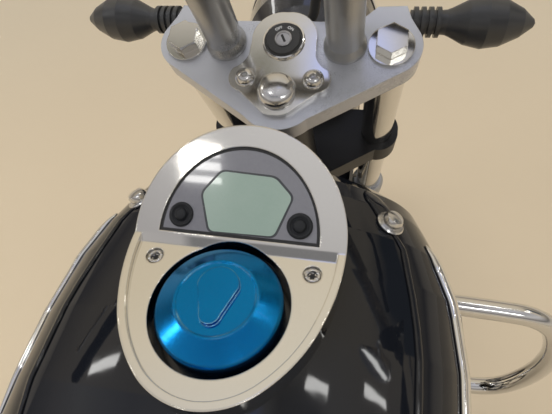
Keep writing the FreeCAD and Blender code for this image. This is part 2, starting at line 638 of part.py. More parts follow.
def console_shell():
    """The egg raised as a column, cut to its side view, with its recess, window, cap hole and screw sinks."""
    climb = math.tan(math.radians(INSTRUMENT_SLOPE - CONSOLE_SLOPE))
    bend = RAMP_TOP + (CONSOLE_RIM_H - RAMP_H) / climb
    front, back = CONSOLE_WIDEST + CONSOLE_FRONT + 20, -CONSOLE_TAIL
    side_view = [(back, -80), (back, CONSOLE_RIM_H), (bend, CONSOLE_RIM_H), (front, CONSOLE_RIM_H + (front - bend) * climb),
                 (front, -80)]
    start, steps = console_outline(0)
    shell = half_slab(start, steps, -80, 80).common(side_slab(side_view, -CONSOLE_HALF_W - 5, CONSOLE_HALF_W + 5))
    floor = [(back, 0), (RAMP_FOOT, 0), (RAMP_TOP, RAMP_H), (RAMP_TOP, 40), (back, 40)]
    start, steps = console_outline(-CONSOLE_RIM_W)
    recess = half_slab(start, steps, -10, 60).common(side_slab(floor, -CONSOLE_HALF_W, CONSOLE_HALF_W))
    shell = shell.cut(recess).cut(Part.makeCylinder(CAP_HOLE_R, 120, Vector(0, 0, -80)))
    for x in (-SCREW_AT[0], SCREW_AT[0]):
        shell = shell.cut(Part.makeCylinder(SCREW_SINK_R, 20, Vector(x, SCREW_AT[1], -3.2)))
    return put(shell, CONSOLE)


def tank():
    body = tank_body()
    along = (BACKBONE_END - HEAD_JOIN).normalize()
    roof = Placement(HEAD_JOIN - along * 60, Rotation(X_AXIS, math.degrees(math.atan2(-along.z, -along.y))))
    tunnel = Part.makeBox(80, 900, 200, Vector(-40, -900, -200 + 26)).fuse(
        Part.makeCylinder(40, 900, Vector(0, -900, 0), Y_AXIS))
    well = put(Part.makeCylinder(CAP_HOLE_R - 1, 60, Vector(0, 0, -CONSOLE_H - 16)).fuse(
        Part.makeCylinder(NECK_R, 120, Vector(0, 0, -CONSOLE_H - 50))), CONSOLE)
    keep("fuel_tank", body.cut(put(tunnel, roof)).cut(well))

    seat = body.copy()
    seat.translate(CONSOLE.Rotation.multVec(Vector(0, 0, SEAT_GAP)))
    start, steps = lens_outline(0)
    window = half_slab(start, steps, -9, 20)
    keep("tank_console", console_shell().cut(put(window, INSTRUMENT)).cut(seat))
    start, steps = lens_outline(-0.3)
    keep("instrument", put(half_slab(start, steps, -8.8, -LENS_STEP), INSTRUMENT))

    base = -CONSOLE_H - 15.8
    dome = turned([(base, 0), (base, CAP_R), (1.0, CAP_R), (3.0, CAP_R - 1.5), (10.5, CAP_TOP_R), (10.5, CAP_TOP_R - 1.5),
                   (10.0, CAP_TOP_R - 2), (10.0, 0)], Vector(0, 0, 0), Z_AXIS)
    flap = slab(outline((-14, 7), [(0, 21, 14, 7), (7, -13), (0, -19.5, -7, -13)]), 9.0, 13.5)
    keep("filler_cap", put(dome.fuse(flap), CONSOLE))


# Frame and what it carries

REAR_GUARD_HALF_W = REAR_TYRE_HALF_W + 12
STRUT_X = REAR_GUARD_HALF_W + 3.0       # middle of the plates that carry the rear mudguard
STRUT_T = 5.6
RAIL_HALF = STRUT_X + STRUT_T / 2 + RAIL_R + 0.4
SHOCK_X = RAIL_HALF + 34.8
PEG = (985.0, 345.0)


def cradle_tube(side, r):
    """Down tube, floor tube and rear post of one side, in one bent length."""
    foot = at(FORK, side * 12, -16, LOWER_YOKE_TOP + 34)
    x = side * CRADLE_HALF
    bends = [(side * 58, 1161.3, 545), (x, 1150, CRADLE_Z), (x, 560, CRADLE_Z), (x, 478, 345), (side * 62, 590, 640)]
    return pipe([tuple(foot)] + [tuple(at(MAIN, *spot)) for spot in bends], r, [120, 90, 90, 60, 90])


def rail_spot(side, back):
    """A point on the straight stretch of a seat rail, this far behind its bend."""
    bend, tail = at(MAIN, side * RAIL_HALF, 520, 628), at(REAR, side * RAIL_HALF, 40, 655)
    return bend + (tail - bend).normalize() * back


def seat_rail(side, r):
    spots = [at(MAIN, side * 10, 700, 672), rail_spot(side, 0), at(REAR, side * RAIL_HALF, 40, 655)]
    return pipe([tuple(spot) for spot in spots], r, 110)


def frame():
    head = sleeve(at(FORK, 0, 0, LOWER_YOKE_TOP + 1), at(FORK, 0, 0, -YOKE_T - 1), HEAD_TUBE_R, STEM_R + RUN_GAP)
    core = rod(at(FORK, 0, 0, LOWER_YOKE_TOP), at(FORK, 0, 0, 0), STEM_R + RUN_GAP)
    spine = rod(HEAD_JOIN, BACKBONE_END, BACKBONE_R)
    parts = [head, spine]
    along = (BACKBONE_END - HEAD_JOIN).normalize()
    for reach in (150, 470):
        spot = HEAD_JOIN + along * reach
        parts.append(rod(spot - X_AXIS * 39.7, spot + X_AXIS * 39.7, 12))
    for side in (-1, 1):
        x = side * CRADLE_HALF
        parts.append(cradle_tube(side, CRADLE_R))
        parts.append(rod(at(MAIN, side * 70, 590, 636), at(MAIN, 0, 620, 652), CRADLE_R))
        parts.append(seat_rail(side, RAIL_R))
        parts.append(rod(at(MAIN, x, 484, 350), rail_spot(side, 220) - Z_AXIS * 2, 10))
        parts.append(rod(at(REAR, side * 104, *SHOCK_TOP), at(REAR, side * (SHOCK_X + 9), *SHOCK_TOP), SHOCK_PIN_R))
        parts.append(rod(at(MAIN, x, PEG[0] + 30, CRADLE_Z), at(MAIN, side * 126, *PEG), 11))
        parts.append(rod(at(MAIN, x, *SWING_PIVOT), at(MAIN, side * 92.3, *SWING_PIVOT), 15))
    for y in (1120, 640):
        parts.append(rod(at(MAIN, -CRADLE_HALF, y, CRADLE_Z), at(MAIN, CRADLE_HALF, y, CRADLE_Z), RAIL_R))
    pad_h = CRANK[1] - CASE_DROP - 0.3 - CRADLE_Z
    for y in ENGINE_MOUNTS:
        parts.append(rod(at(MAIN, -CRADLE_HALF, y, CRADLE_Z), at(MAIN, CRADLE_HALF, y, CRADLE_Z), RAIL_R))
        for side in (-1, 1):
            parts.append(Part.makeBox(36, 18, pad_h, at(MAIN, side * 60 - 18, y - 9, CRADLE_Z)))
    parts.append(rod(rail_spot(-1, 42), rail_spot(1, 42), RAIL_R))
    y, z = STAND_PIVOT
    for side in (-1, 1):
        parts.append(Part.makeBox(10, 30, CRADLE_Z - z + 12, at(MAIN, side * 123 - 5, y - 15, z - 12)))
    parts.append(rod(at(MAIN, -128, y, z), at(MAIN, 128, y, z), STAND_PIN_R))
    pivot = at(MAIN, *SIDE_PIVOT)
    parts.append(rod(pivot + SIDE_AXIS * 26, pivot + SIDE_AXIS * 7, 15))
    parts.append(rod(pivot + SIDE_AXIS * 26, pivot - SIDE_AXIS * 9, STAND_PIN_R - 1))
    keep("frame", joined(parts).cut(core))


SIDE_AXIS = Vector(math.cos(math.radians(-15)), 0, math.sin(math.radians(-15)))


def stands():
    hub = at(MAIN, 0, *STAND_PIVOT)
    foot_y = hub.y + STAND_FOOT_AHEAD
    parts = [rod(hub - X_AXIS * STAND_HALF, hub + X_AXIS * STAND_HALF, 14)]
    for side in (-1, 1):
        foot = Vector(side * 132, foot_y, 9)
        parts.append(rod(hub + X_AXIS * side * 92, foot, 11))
        parts.append(Part.makeBox(38, 62, 7, Vector(foot.x - 19, foot.y - 31, 0)))
        parts.append(rod(foot + Vector(0, 0, -4), foot + Vector(0, 0, 4), 11))
    parts.append(rod(Vector(-110, hub.y + 14, hub.z * 0.55), Vector(110, hub.y + 14, hub.z * 0.55), 9))
    stand = joined(parts).cut(rod(hub - X_AXIS * 140, hub + X_AXIS * 140, STAND_PIN_R + RUN_GAP))
    keep("centre_stand", stand)
    pivot = at(MAIN, *SIDE_PIVOT)
    eye = rod(pivot - SIDE_AXIS * 6, pivot + SIDE_AXIS * 6, 15)
    leg = rod(pivot + Vector(0, -30, 0), pivot + Vector(0, -SIDE_LEG, 0), 9)
    plate = Part.makeBox(12, 40, 22, Vector(-6, -40, -11))
    plate.Placement = Placement(pivot, Rotation(Y_AXIS, 15)).multiply(plate.Placement)
    shoe = Part.makeBox(30, 52, 6, Vector(pivot.x - 15, pivot.y - SIDE_LEG - 22, pivot.z - 3))
    bore = rod(pivot - SIDE_AXIS * 30, pivot + SIDE_AXIS * 30, STAND_PIN_R - 1 + RUN_GAP)
    keep("side_stand", joined([eye, leg.fuse(plate), shoe]).cut(bore))


def rear_suspension():
    pivot = at(MAIN, 0, *SWING_PIVOT)
    cross = pivot + Vector(0, -81, 0)
    x = SWING_HALF
    parts = [rod(pivot - X_AXIS * 92, pivot + X_AXIS * 92, 24), rod(cross - X_AXIS * x, cross + X_AXIS * x, 20)]
    parts.append(rod(cross + X_AXIS * x, REAR_AXLE + X_AXIS * x, 19))
    parts.append(rod(cross - X_AXIS * (x - 4), REAR_AXLE + Vector(4 - x, 60, 0), 27))
    for side in (-1, 1):
        parts.append(rod(pivot + X_AXIS * side * 70, cross + X_AXIS * side * 84, 18))
    parts.append(rod(REAR_AXLE - X_AXIS * 74, REAR_AXLE - X_AXIS * 113, 84))
    parts.append(rod(REAR_AXLE + X_AXIS * (x - 26), REAR_AXLE + X_AXIS * (x + 22), 26))
    axle = rod(REAR_AXLE - X_AXIS * 127, REAR_AXLE + X_AXIS * 151, AXLE_R)
    fill = rod(REAR_AXLE - X_AXIS * 150, REAR_AXLE + X_AXIS * 150, AXLE_R + SEAT_GAP)
    low_pin = REAR_AXLE + Vector(0, *SHOCK_FOOT)
    for side in (-1, 1):
        parts.append(rod(low_pin + X_AXIS * side * 100, low_pin + X_AXIS * side * (SHOCK_X + 9), SHOCK_PIN_R))
    nuts = [rod(REAR_AXLE + X_AXIS * a, REAR_AXLE + X_AXIS * b, 17) for a, b in ((-113.3, -126), (138.3, 150))]
    stop = [sleeve(REAR_AXLE + X_AXIS * s * (66 + RUN_GAP), REAR_AXLE + X_AXIS * s * 73.5, 17, 5) for s in (-1, 1)]
    plate = sleeve(REAR_AXLE + X_AXIS * 73.7, REAR_AXLE + X_AXIS * 89.5, 104, AXLE_R + SEAT_GAP)
    keep("swingarm", joined(parts).cut(fill), joined([axle] + nuts + stop), plate)

    shocks = []
    for side in (-1, 1):
        low = low_pin + X_AXIS * side * SHOCK_X
        high = at(REAR, side * SHOCK_X, *SHOCK_TOP)
        way = (high - low).normalize()
        span = (high - low).Length
        body = turned([(0, 0), (0, 15), (30, 15), (34, 25), (span - 84, 25), (span - 80, 29), (span - 22, 29),
                       (span - 14, 15), (span, 15), (span, 0)], low, way, X_AXIS)
        eyes = [rod(p - X_AXIS * 8, p + X_AXIS * 8, 16) for p in (low, high)]
        bores = [rod(p - X_AXIS * 20, p + X_AXIS * 20, SHOCK_PIN_R + SEAT_GAP) for p in (low, high)]
        shocks.append(joined([body] + eyes).cut(joined(bores)))
    keep("rear_shocks", *shocks)


def cylinder_side(lean, side):
    """The space from the fin edges of one cylinder outwards: lean -1 is the front cylinder, side 1 its front."""
    edge = FIN_HALF - 8 + 0.3
    block = Part.makeBox(260, 600, 500, Vector(-130, -edge if side < 0 else edge - 600, 0))
    return put(block, Placement(Vector(0, *CRANK), Rotation(X_AXIS, lean * V_HALF)))


def engine():
    y, z = CRANK
    case = side_slab([(y - 176, z - 60), (y - 160, z + 26), (y - 96, z + 66), (y + 96, z + 66), (y + 150, z + 22),
                      (y + 158, z - 60), (y + 104, z - CASE_DROP), (y - 124, z - CASE_DROP)], -90, 90)
    case = case.makeFillet(12, [e for e in case.Edges if abs(e.tangentAt(0).x) > 0.9])
    cylinders, feet, seats_cut = [], [], []
    for lean in (-V_HALF, V_HALF):
        place = Placement(Vector(0, y, z), Rotation(X_AXIS, lean))
        feet.append(put(Part.makeCylinder(60, CYL_FOOT - 40, Vector(0, 0, 40)), place))
        seats_cut.append(put(Part.makeCylinder(54.4, 60, Vector(0, 0, CYL_FOOT)), place))
        parts = [Part.makeCylinder(54, CYL_TOP - CYL_FOOT, Vector(0, 0, CYL_FOOT + SEAT_GAP)),
                 Part.makeBox(120, 108, HEAD_TOP - CYL_TOP - 24, Vector(-60, -54, CYL_TOP))]
        level = CYL_FOOT + 19
        while level < HEAD_TOP - 30:
            parts.append(Part.makeBox(2 * FIN_HALF, 2 * FIN_HALF - 16, FIN_T, Vector(-FIN_HALF, 8 - FIN_HALF, level)))
            level += FIN_PITCH
        lid = Part.makeBox(124, 112, 28, Vector(-62, -56, HEAD_TOP - 28))
        parts.append(lid.makeFillet(12, [e for e in lid.Edges if e.CenterOfMass.z > HEAD_TOP - 1
                                         or abs(e.tangentAt(0).z) > 0.9]))
        cylinders.append(put(joined(parts), place))
    keep("engine_case", put(joined([case] + feet).cut(joined(seats_cut)), MAIN))
    keep("engine_cylinders", *[put(one, MAIN) for one in cylinders])
    left = joined([rod(Vector(-90.2, y + 20, z - 5), Vector(-126, y + 20, z - 5), 98),
                   rod(Vector(-90.2, y - 110, z - 15), Vector(-120, y - 110, z - 15), 62)])
    right = rod(Vector(90.2, y + 10, z - 5), Vector(122, y + 10, z - 5), 84)
    trunk = rod(Vector(0, y - 118, z + 205), Vector(0, y + 118, z + 205), 20)
    for side in (-1, 1):
        trunk = trunk.cut(cylinder_side(side, side))
    cleaner = rod(Vector(-24, y, z + 212), Vector(93, y, z + 212), 34).fuse(trunk).fuse(
        turned([(92, 0), (92, 82), (126, 82), (140, 74), (146, 50), (148, 0)], Vector(0, y, z + 212), X_AXIS))
    keep("engine_covers", put(left, MAIN), put(right, MAIN), put(cleaner, MAIN))


def exhaust():
    y, z = CRANK
    pipes = []
    lean = math.radians(V_HALF)
    reach = (CYL_TOP + 24) * math.sin(lean) + 52 * math.cos(lean)
    rise = (CYL_TOP + 24) * math.cos(lean) - 52 * math.sin(lean)
    routes = [([(40, y + reach, z + rise), (44, y + reach + 52, z + rise - 34), (160, 1086, 430), (166, 1000, 272),
                (180, 720, 262), (222, 600, 262)], [30, 45, 60, 60], (222, 600, 262), 600, 0),
              ([(40, y - reach, z + rise), (44, y - reach - 50, z + rise - 34), (180, 640, 430), (216, 600, 356),
                (222, 500, 352)], [30, 35, 30], (222, 540, 353), 560, 1)]
    for points, bends, start, length, number in routes:
        can = turned([(0, 0), (0, 20), (46, 38), (length - 30, 40), (length - 8, 34), (length, 26), (length, 0)],
                     Vector(*start), Vector(0, -1, 0.05), X_AXIS)
        lean = (-1, 1)[number]
        pipes.append(pipe(points, 19, bends).cut(cylinder_side(lean, -lean)).fuse(can))
    keep("exhaust", *[put(one, MAIN) for one in pipes])


RIDER_SEAT = [              # frame, along, top, bottom, half width, crown radius, side radius
    (MAIN, 596.0, 728.0, 668.0, 84.0, 190.0, 24.0),
    (MAIN, 560.0, 722.0, 652.0, 102.0, 260.0, 28.0),
    (MAIN, 500.0, 708.0, 646.0, 124.0, 380.0, 30.0),
    (MAIN, 430.0, 703.0, 646.0, 137.0, 560.0, 30.0),
    (REAR, 372.0, 715.0, 646.0, 140.0, 560.0, 32.0),
    (REAR, 334.0, 744.0, 660.0, 137.0, 460.0, 34.0),
    (REAR, 300.3, 766.0, 700.0, 128.0, 360.0, 34.0),
]
PASSENGER_SEAT = [          # the same columns
    (REAR, 300.0, 752.0, 696.0, 98.0, 330.0, 22.0),
    (REAR, 262.0, 766.0, 690.0, 104.0, 330.0, 26.0),
    (REAR, 180.0, 772.0, 690.0, 106.0, 330.0, 26.0),
    (REAR, 96.0, 770.0, 690.0, 102.0, 310.0, 26.0),
    (REAR, 56.0, 756.0, 690.0, 94.0, 280.0, 24.0),
    (REAR, 36.0, 730.0, 692.0, 80.0, 220.0, 18.0),
]


def seat_body(rows):
    """A padded seat's outer shape: crowned sections one behind the other, on a flat floor."""
    rings = []
    for frame_place, along, top, bottom, half_w, crown, side in rows:
        ring = tank_section(along, top, bottom, half_w, crown, side)
        rings.append(put(ring, frame_place))
    return Part.makeLoft(rings, True, True)


def seats():
    grown = tank_body()
    grown.translate(Vector(0, -1.5, 1))
    rails = joined([seat_rail(side, RAIL_R + 0.3) for side in (-1, 1)])
    keep("rider_seat", seat_body(RIDER_SEAT).cut(grown).cut(rails))
    guard = rod(REAR_AXLE - X_AXIS * 300, REAR_AXLE + X_AXIS * 300, REAR_GUARD_R + 0.3)
    keep("passenger_seat", seat_body(PASSENGER_SEAT).cut(guard))


def rear_end():
    keep("rear_fender", fender(REAR_AXLE, REAR_GUARD_R, REAR_GUARD_HALF_W, REAR_GUARD_R - 56, GUARD_T, 36.0, 192.0))
    over_guard = rod(REAR_AXLE - X_AXIS * 300, REAR_AXLE + X_AXIS * 300, REAR_GUARD_R + SEAT_GAP)
    struts = []
    for side in (-1, 1):
        plan = [(190, 640), (190, 672), (60, 676), (-140, 640), (-250, 590), (-262, 566), (-130, 606), (60, 640)]
        plate = side_slab(plan, side * STRUT_X - STRUT_T / 2, side * STRUT_X + STRUT_T / 2)
        struts.append(put(plate, REAR))
    keep("fender_struts", *struts)
    back = REAR_AXLE + Rotation(X_AXIS, 148).multVec(Vector(0, REAR_GUARD_R, 0))
    lamp = Part.makeBox(110, 60, 56, Vector(-55, back.y - 52, back.z - 10))
    lamp = lamp.makeFillet(16, [e for e in lamp.Edges if e.CenterOfMass.y < back.y - 40 or abs(e.tangentAt(0).y) > 0.9])
    pods = []
    for side in (-1, 1):
        root = at(REAR, side * (STRUT_X + STRUT_T / 2 + 0.1), -210, 612)
        pod, lens = signal(root, side, -1)
        pods.append(pod.fuse(lens))
    keep("rear_lamps", lamp.cut(over_guard), *pods)
    low = REAR_AXLE.z + PLATE_LOW
    plate = Part.makeBox(PLATE_W, 3, PLATE_H, Vector(-PLATE_W / 2, PLATE_Y, low))
    for hole_x in (-PLATE_HOLES / 2, PLATE_HOLES / 2):
        plate = plate.cut(Part.makeCylinder(3.3, 30, Vector(hole_x, PLATE_Y - 10, low + PLATE_H - 12), Y_AXIS))
    outer, inner = PLATE_Y + 3, 31 - REAR_GUARD_R
    arm = side_slab([(outer, low + 40), (outer, low + 70), (inner, low + 70), (inner, low + 40)], -30, 30)
    keep("plate_bracket", plate.fuse(arm).cut(over_guard))


def controls():
    pieces = []
    for side in (-1, 1):
        y, z = PEG
        peg = rod(Vector(side * 137.2, y, z), Vector(side * 150, y, z), 9).fuse(
            rod(Vector(side * 150, y, z), Vector(side * 252, y, z), 14))
        pieces.append(peg)
        pad = Part.makeBox(60, 26, 12, Vector(side * 205 - 30, y + 122, z + 24))
        arm = pipe([(side * 136, y + 6.2, z - 22.5), (side * 202, y + 6.2, z - 22.5), (side * 202, y + 130, z + 28)], 7, 12)
        pieces.append(pad.fuse(arm))
    keep("foot_controls", *[put(one, MAIN) for one in pieces])
    guard_y = 1192.0
    loops = []
    for side in (-1, 1):
        loop = pipe([(side * 46, 1190, 604), (side * 90, guard_y, 605), (side * 328, guard_y, 605),
                     (side * 392, guard_y, 470), (side * 328, guard_y, 345), (side * 140, guard_y, 345),
                     (side * 97, 1157, 345)], 14, [40, 70, 70, 70, 40])
        loops.append(put(loop, MAIN).cut(cradle_tube(side, CRADLE_R + 0.3)))
    keep("engine_guard", *loops)
    covers = []
    for side in (-1, 1):
        wire = side_slab([(604, 530), (590, 592), (500, 638), (424, 640), (450, 560), (500, 492)],
                         min(side * 124.5, side * 130), max(side * 124.5, side * 130))
        covers.append(put(wire, MAIN))
    keep("side_covers", *covers)


def cables():
    end, inward = grip_line()
    start = end + inward * 186
    lug = -FORK_LENGTH
    route = [(30, 104, 30), (24, 96, -8), (-26, 60, -110), (-50, 90, -192), (-56, 92, -250), (-83, 10, SEAL_W + 80),
             (-88, 8, SEAL_W - 10), (-88, 6, lug + 170.5), (-82, -50, lug + 110.5), (-80, -56, lug + 90.5)]
    points = [(start.x, start.y + 40, start.z), (start.x - 60, start.y + 110, start.z - 20)]
    points += [tuple(at(FORK, *spot)) for spot in route]
    hose = pipe(points, 5, [30, 40, 20, 30, 30, 20, 30, 20, 30, 20])
    keep("brake_hose", hose.cut(NODES["front_caliper"][0]))


def main():
    wheels()
    yokes()
    fork_legs()
    front_caliper()
    front_fender()
    handlebar()
    headlamp()
    front_signals()
    tank()
    frame()
    stands()
    rear_suspension()
    engine()
    exhaust()
    seats()
    rear_end()
    controls()
    cables()


main()
os.makedirs("parts", exist_ok=True)
for name, solids in NODES.items():
    shape = solids[0] if len(solids) == 1 else Part.makeCompound(solids)
    shape = shape.copy()
    shape.translate(Vector(0, SHIFT_Y, 0))
    if not shape.isValid():
        print("not valid:", name)
    print(name, len(shape.Solids), round(shape.Volume / 1e3), "cm3")
    shape.exportStep("parts/" + name + ".step")
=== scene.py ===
import math

import bmesh
import bpy
import numpy as np
from mathutils import Matrix, Vector
from mathutils.bvhtree import BVHTree


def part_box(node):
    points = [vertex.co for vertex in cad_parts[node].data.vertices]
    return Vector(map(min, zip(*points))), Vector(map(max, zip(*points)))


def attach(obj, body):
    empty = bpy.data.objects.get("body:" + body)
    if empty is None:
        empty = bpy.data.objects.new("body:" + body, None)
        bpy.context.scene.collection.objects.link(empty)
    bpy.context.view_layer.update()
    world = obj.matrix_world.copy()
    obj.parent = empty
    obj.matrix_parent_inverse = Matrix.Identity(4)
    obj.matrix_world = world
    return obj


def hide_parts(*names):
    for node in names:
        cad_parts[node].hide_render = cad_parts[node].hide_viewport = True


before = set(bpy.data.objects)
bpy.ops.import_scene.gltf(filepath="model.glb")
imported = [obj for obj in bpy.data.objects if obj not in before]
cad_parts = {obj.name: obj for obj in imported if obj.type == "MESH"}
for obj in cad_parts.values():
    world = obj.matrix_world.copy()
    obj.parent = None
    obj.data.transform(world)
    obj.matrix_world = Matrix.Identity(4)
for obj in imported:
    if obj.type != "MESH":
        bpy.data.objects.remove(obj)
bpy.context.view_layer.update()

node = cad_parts
scene = bpy.context.scene
scene.view_settings.view_transform = "Standard"

# The rider's eye
# A camera held over the front of the seat, looking down across the console to the yoke and the bars.
# Its place is counted from the middle of the filler cap, in metres.
CAP = Vector((0.0, 0.20840, 0.89101))
EYE = CAP + Vector((0.0815, -0.1287, 0.2399))
YAW, PITCH, ROLL = (math.radians(angle) for angle in (-15.45, 46.35, -5.95))
SENSOR_WIDTH, FOCAL_PIXELS, PICTURE_PIXELS = 36.0, 415.0, 552.0
look = Vector((math.sin(YAW) * math.cos(PITCH), math.cos(YAW) * math.cos(PITCH), -math.sin(PITCH)))
level = Vector((math.cos(YAW), -math.sin(YAW), 0.0))
rise = level.cross(look)
right = level * math.cos(ROLL) + rise * math.sin(ROLL)
up = rise * math.cos(ROLL) - level * math.sin(ROLL)
camera_data = bpy.data.cameras.new("rider_view")
camera_data.sensor_width = SENSOR_WIDTH
camera_data.lens = SENSOR_WIDTH * FOCAL_PIXELS / PICTURE_PIXELS
camera_data.clip_start = 0.02
camera = bpy.data.objects.new("rider_view", camera_data)
camera.matrix_world = Matrix.Translation(EYE) @ Matrix((right, up, -look)).transposed().to_4x4()
scene.collection.objects.link(camera)
scene.camera = camera


# The floor and the room's light
# A plain warm polished floor, one pale room seen by eye, metal and glass alike, and soft lamps above.
# The small ceiling lamps give the black paint its few bright patches.
def add(tree, kind, inputs=None, **settings):
    """One node; an input is a socket, a node whose first output it takes, or a plain value."""
    made = tree.nodes.new(kind)
    for key, value in settings.items():
        setattr(made, key, value)
    for key, value in (inputs or {}).items():
        if isinstance(value, bpy.types.Node):
            value = value.outputs[0]
        if isinstance(value, bpy.types.NodeSocket):
            tree.links.new(value, made.inputs[key])
        else:
            made.inputs[key].default_value = value
    return made


def maths(tree, kind, *values):
    """One Math node of this kind, joined to its values in order."""
    return add(tree, "ShaderNodeMath", dict(enumerate(values)), operation=kind).outputs[0]


def mixed(tree, factor, first, second, kind="RGBA"):
    """A mix of two colours or numbers, as a socket."""
    return add(tree, "ShaderNodeMix", {"Factor": factor, "A": first, "B": second},
               data_type=kind).outputs["Result"]


def node_group(name, kind, inputs, outputs):
    """A group with its inputs, each a start value or a kind, and its outputs; also what it is given."""
    tree = bpy.data.node_groups.new(name, kind)
    for way, sockets in (("INPUT", inputs), ("OUTPUT", outputs)):
        for label, start in sockets.items():
            of_kind = start if isinstance(start, str) else "Float"
            made = tree.interface.new_socket(name=label, in_out=way, socket_type="NodeSocket" + of_kind)
            if of_kind != start:
                made.default_value = start
    return tree, add(tree, "NodeGroupInput").outputs


def object_place(tree):
    """Where a point of the surface lies, in the machine's own frame."""
    return add(tree, "ShaderNodeTexCoord").outputs["Object"]


# Slow clouds and fine specks over a surface: one value between Low and High, and their masks.
clouds, given = node_group("clouds_and_specks", "ShaderNodeTree",
                           {"Scale": 12.0, "Speck Scale": 400.0, "Low": 0.1, "High": 0.2},
                           {"Value": "Float", "Mask": "Float", "Specks": "Float"})
spot = object_place(clouds)
slow = add(clouds, "ShaderNodeTexNoise", {"Vector": spot, "Scale": given["Scale"], "Detail": 4.0,
                                          "Roughness": 0.6})
fine = add(clouds, "ShaderNodeTexNoise", {"Vector": spot, "Scale": given["Speck Scale"], "Detail": 2.0,
                                          "Roughness": 0.7})
total = maths(clouds, "ADD", slow, maths(clouds, "MULTIPLY", fine, 0.35))
mask = add(clouds, "ShaderNodeMapRange", {"Value": total, "From Min": 0.45, "From Max": 0.9})
value = add(clouds, "ShaderNodeMapRange", {"Value": mask, "To Min": given["Low"], "To Max": given["High"]})
add(clouds, "NodeGroupOutput", {"Value": value, "Mask": mask, "Specks": fine})

# Rounded edges for the light to catch, and a mask of where hands and cloths have worn them.
# On the filler cap the same mask lays a painted highlight along the edges.
worn_and_lit_edges, given = node_group("rounded_worn_edges", "ShaderNodeTree", {"Radius": 0.0006, "Wear Scale": 60.0},
                               {"Normal": "Vector", "Wear And Highlight": "Float"})
soft = add(worn_and_lit_edges, "ShaderNodeBevel", {"Radius": given["Radius"]}, samples=4)
turn = add(worn_and_lit_edges, "ShaderNodeVectorMath",
           {0: soft, 1: add(worn_and_lit_edges, "ShaderNodeNewGeometry").outputs["Normal"]}, operation="DOT_PRODUCT")
away = add(worn_and_lit_edges, "ShaderNodeMapRange", {"Value": turn.outputs["Value"], "From Min": 0.995,
                                              "From Max": 0.8})
patchy = add(worn_and_lit_edges, "ShaderNodeTexNoise", {"Vector": object_place(worn_and_lit_edges), "Detail": 5.0,
                                                "Scale": given["Wear Scale"]})
broken = add(worn_and_lit_edges, "ShaderNodeMapRange", {"Value": patchy, "From Min": 0.42, "From Max": 0.66})
add(worn_and_lit_edges, "NodeGroupOutput", {"Normal": soft, "Wear And Highlight": maths(worn_and_lit_edges, "MULTIPLY", away, broken)})


def tone(colour):
    """A colour with its alpha; one number is a grey."""
    return (*colour, 1.0) if isinstance(colour, tuple) else (colour, colour, colour, 1.0)


def shader_of(material):
    """The material's one surface shader."""
    return material.node_tree.nodes["Principled BSDF"]


def emboss(material, height, strength, distance, under=None):
    """Gives a surface a fine relief, over its rounded edges where under holds them."""
    inputs = {"Strength": strength, "Distance": distance, "Height": height}
    if under:
        inputs["Normal"] = under
    relief = add(material.node_tree, "ShaderNodeBump", inputs)
    material.node_tree.links.new(relief.outputs["Normal"], shader_of(material).inputs["Normal"])


def finish(name, colour, second, rough, scale=12.0, specks=400.0, bump=0.0, metal=0.0, coat=0.0,
           coat_rough=0.03, edge=None, radius=0.0, ior=1.5, sheen=0.0):
    """A finish with cloudy colour and gloss, a fine grain, and rounded edges with wear and painted
    highlights.
    """
    made = bpy.data.materials.new(name)
    made.use_nodes = True
    tree, into = made.node_tree, shader_of(made).inputs
    for key, amount in (("Metallic", metal), ("Coat Weight", coat), ("Coat Roughness", coat_rough),
                        ("IOR", ior), ("Sheen Weight", sheen)):
        into[key].default_value = amount
    cloud = add(tree, "ShaderNodeGroup", {"Scale": scale, "Speck Scale": specks, "Low": rough[0],
                                          "High": rough[1]}, node_tree=clouds)
    top = mixed(tree, cloud.outputs["Mask"], tone(colour), tone(second))
    normal = None
    if radius:
        edges = add(tree, "ShaderNodeGroup", {"Radius": radius}, node_tree=worn_and_lit_edges)
        normal = edges.outputs["Normal"]
        tree.links.new(normal, into["Normal"])
        if edge:
            top = mixed(tree, edges.outputs["Wear And Highlight"], top, tone(edge))
    tree.links.new(cloud.outputs["Value"], into["Roughness"])
    tree.links.new(top, into["Base Color"])
    if bump:
        emboss(made, cloud.outputs["Specks"], bump, 0.0004, normal)
    return made


def mix_in(material, mask, colour=None, rough=None, metal=None):
    """Lays another colour, roughness or metalness over a finish where the mask is 1."""
    tree = material.node_tree
    for key, over_it in (("Base Color", colour), ("Roughness", rough), ("Metallic", metal)):
        if over_it is None:
            continue
        into = shader_of(material).inputs[key]
        under = into.links[0].from_socket if into.is_linked else into.default_value
        if key == "Base Color":
            tree.links.new(mixed(tree, mask, under, tone(over_it)), into)
        else:
            tree.links.new(mixed(tree, mask, under, over_it, "FLOAT"), into)


def mesh_object(name, points, faces, material=None):
    """A mesh at the origin."""
    mesh = bpy.data.meshes.new(name)
    mesh.from_pydata([tuple(p) for p in points], [], faces)
    mesh.update()
    if material:
        mesh.materials.append(material)
    made = bpy.data.objects.new(name, mesh)
    scene.collection.objects.link(made)
    return made


def band(tree, value, low, high, soft):
    """A mask that is 1 between low and high, with soft ends."""
    into = add(tree, "ShaderNodeMapRange", {"Value": value, "From Min": low - soft, "From Max": low + soft})
    out_of = add(tree, "ShaderNodeMapRange", {"Value": value, "From Min": high + soft,
                                              "From Max": high - soft})
    return maths(tree, "MULTIPLY", into, out_of)


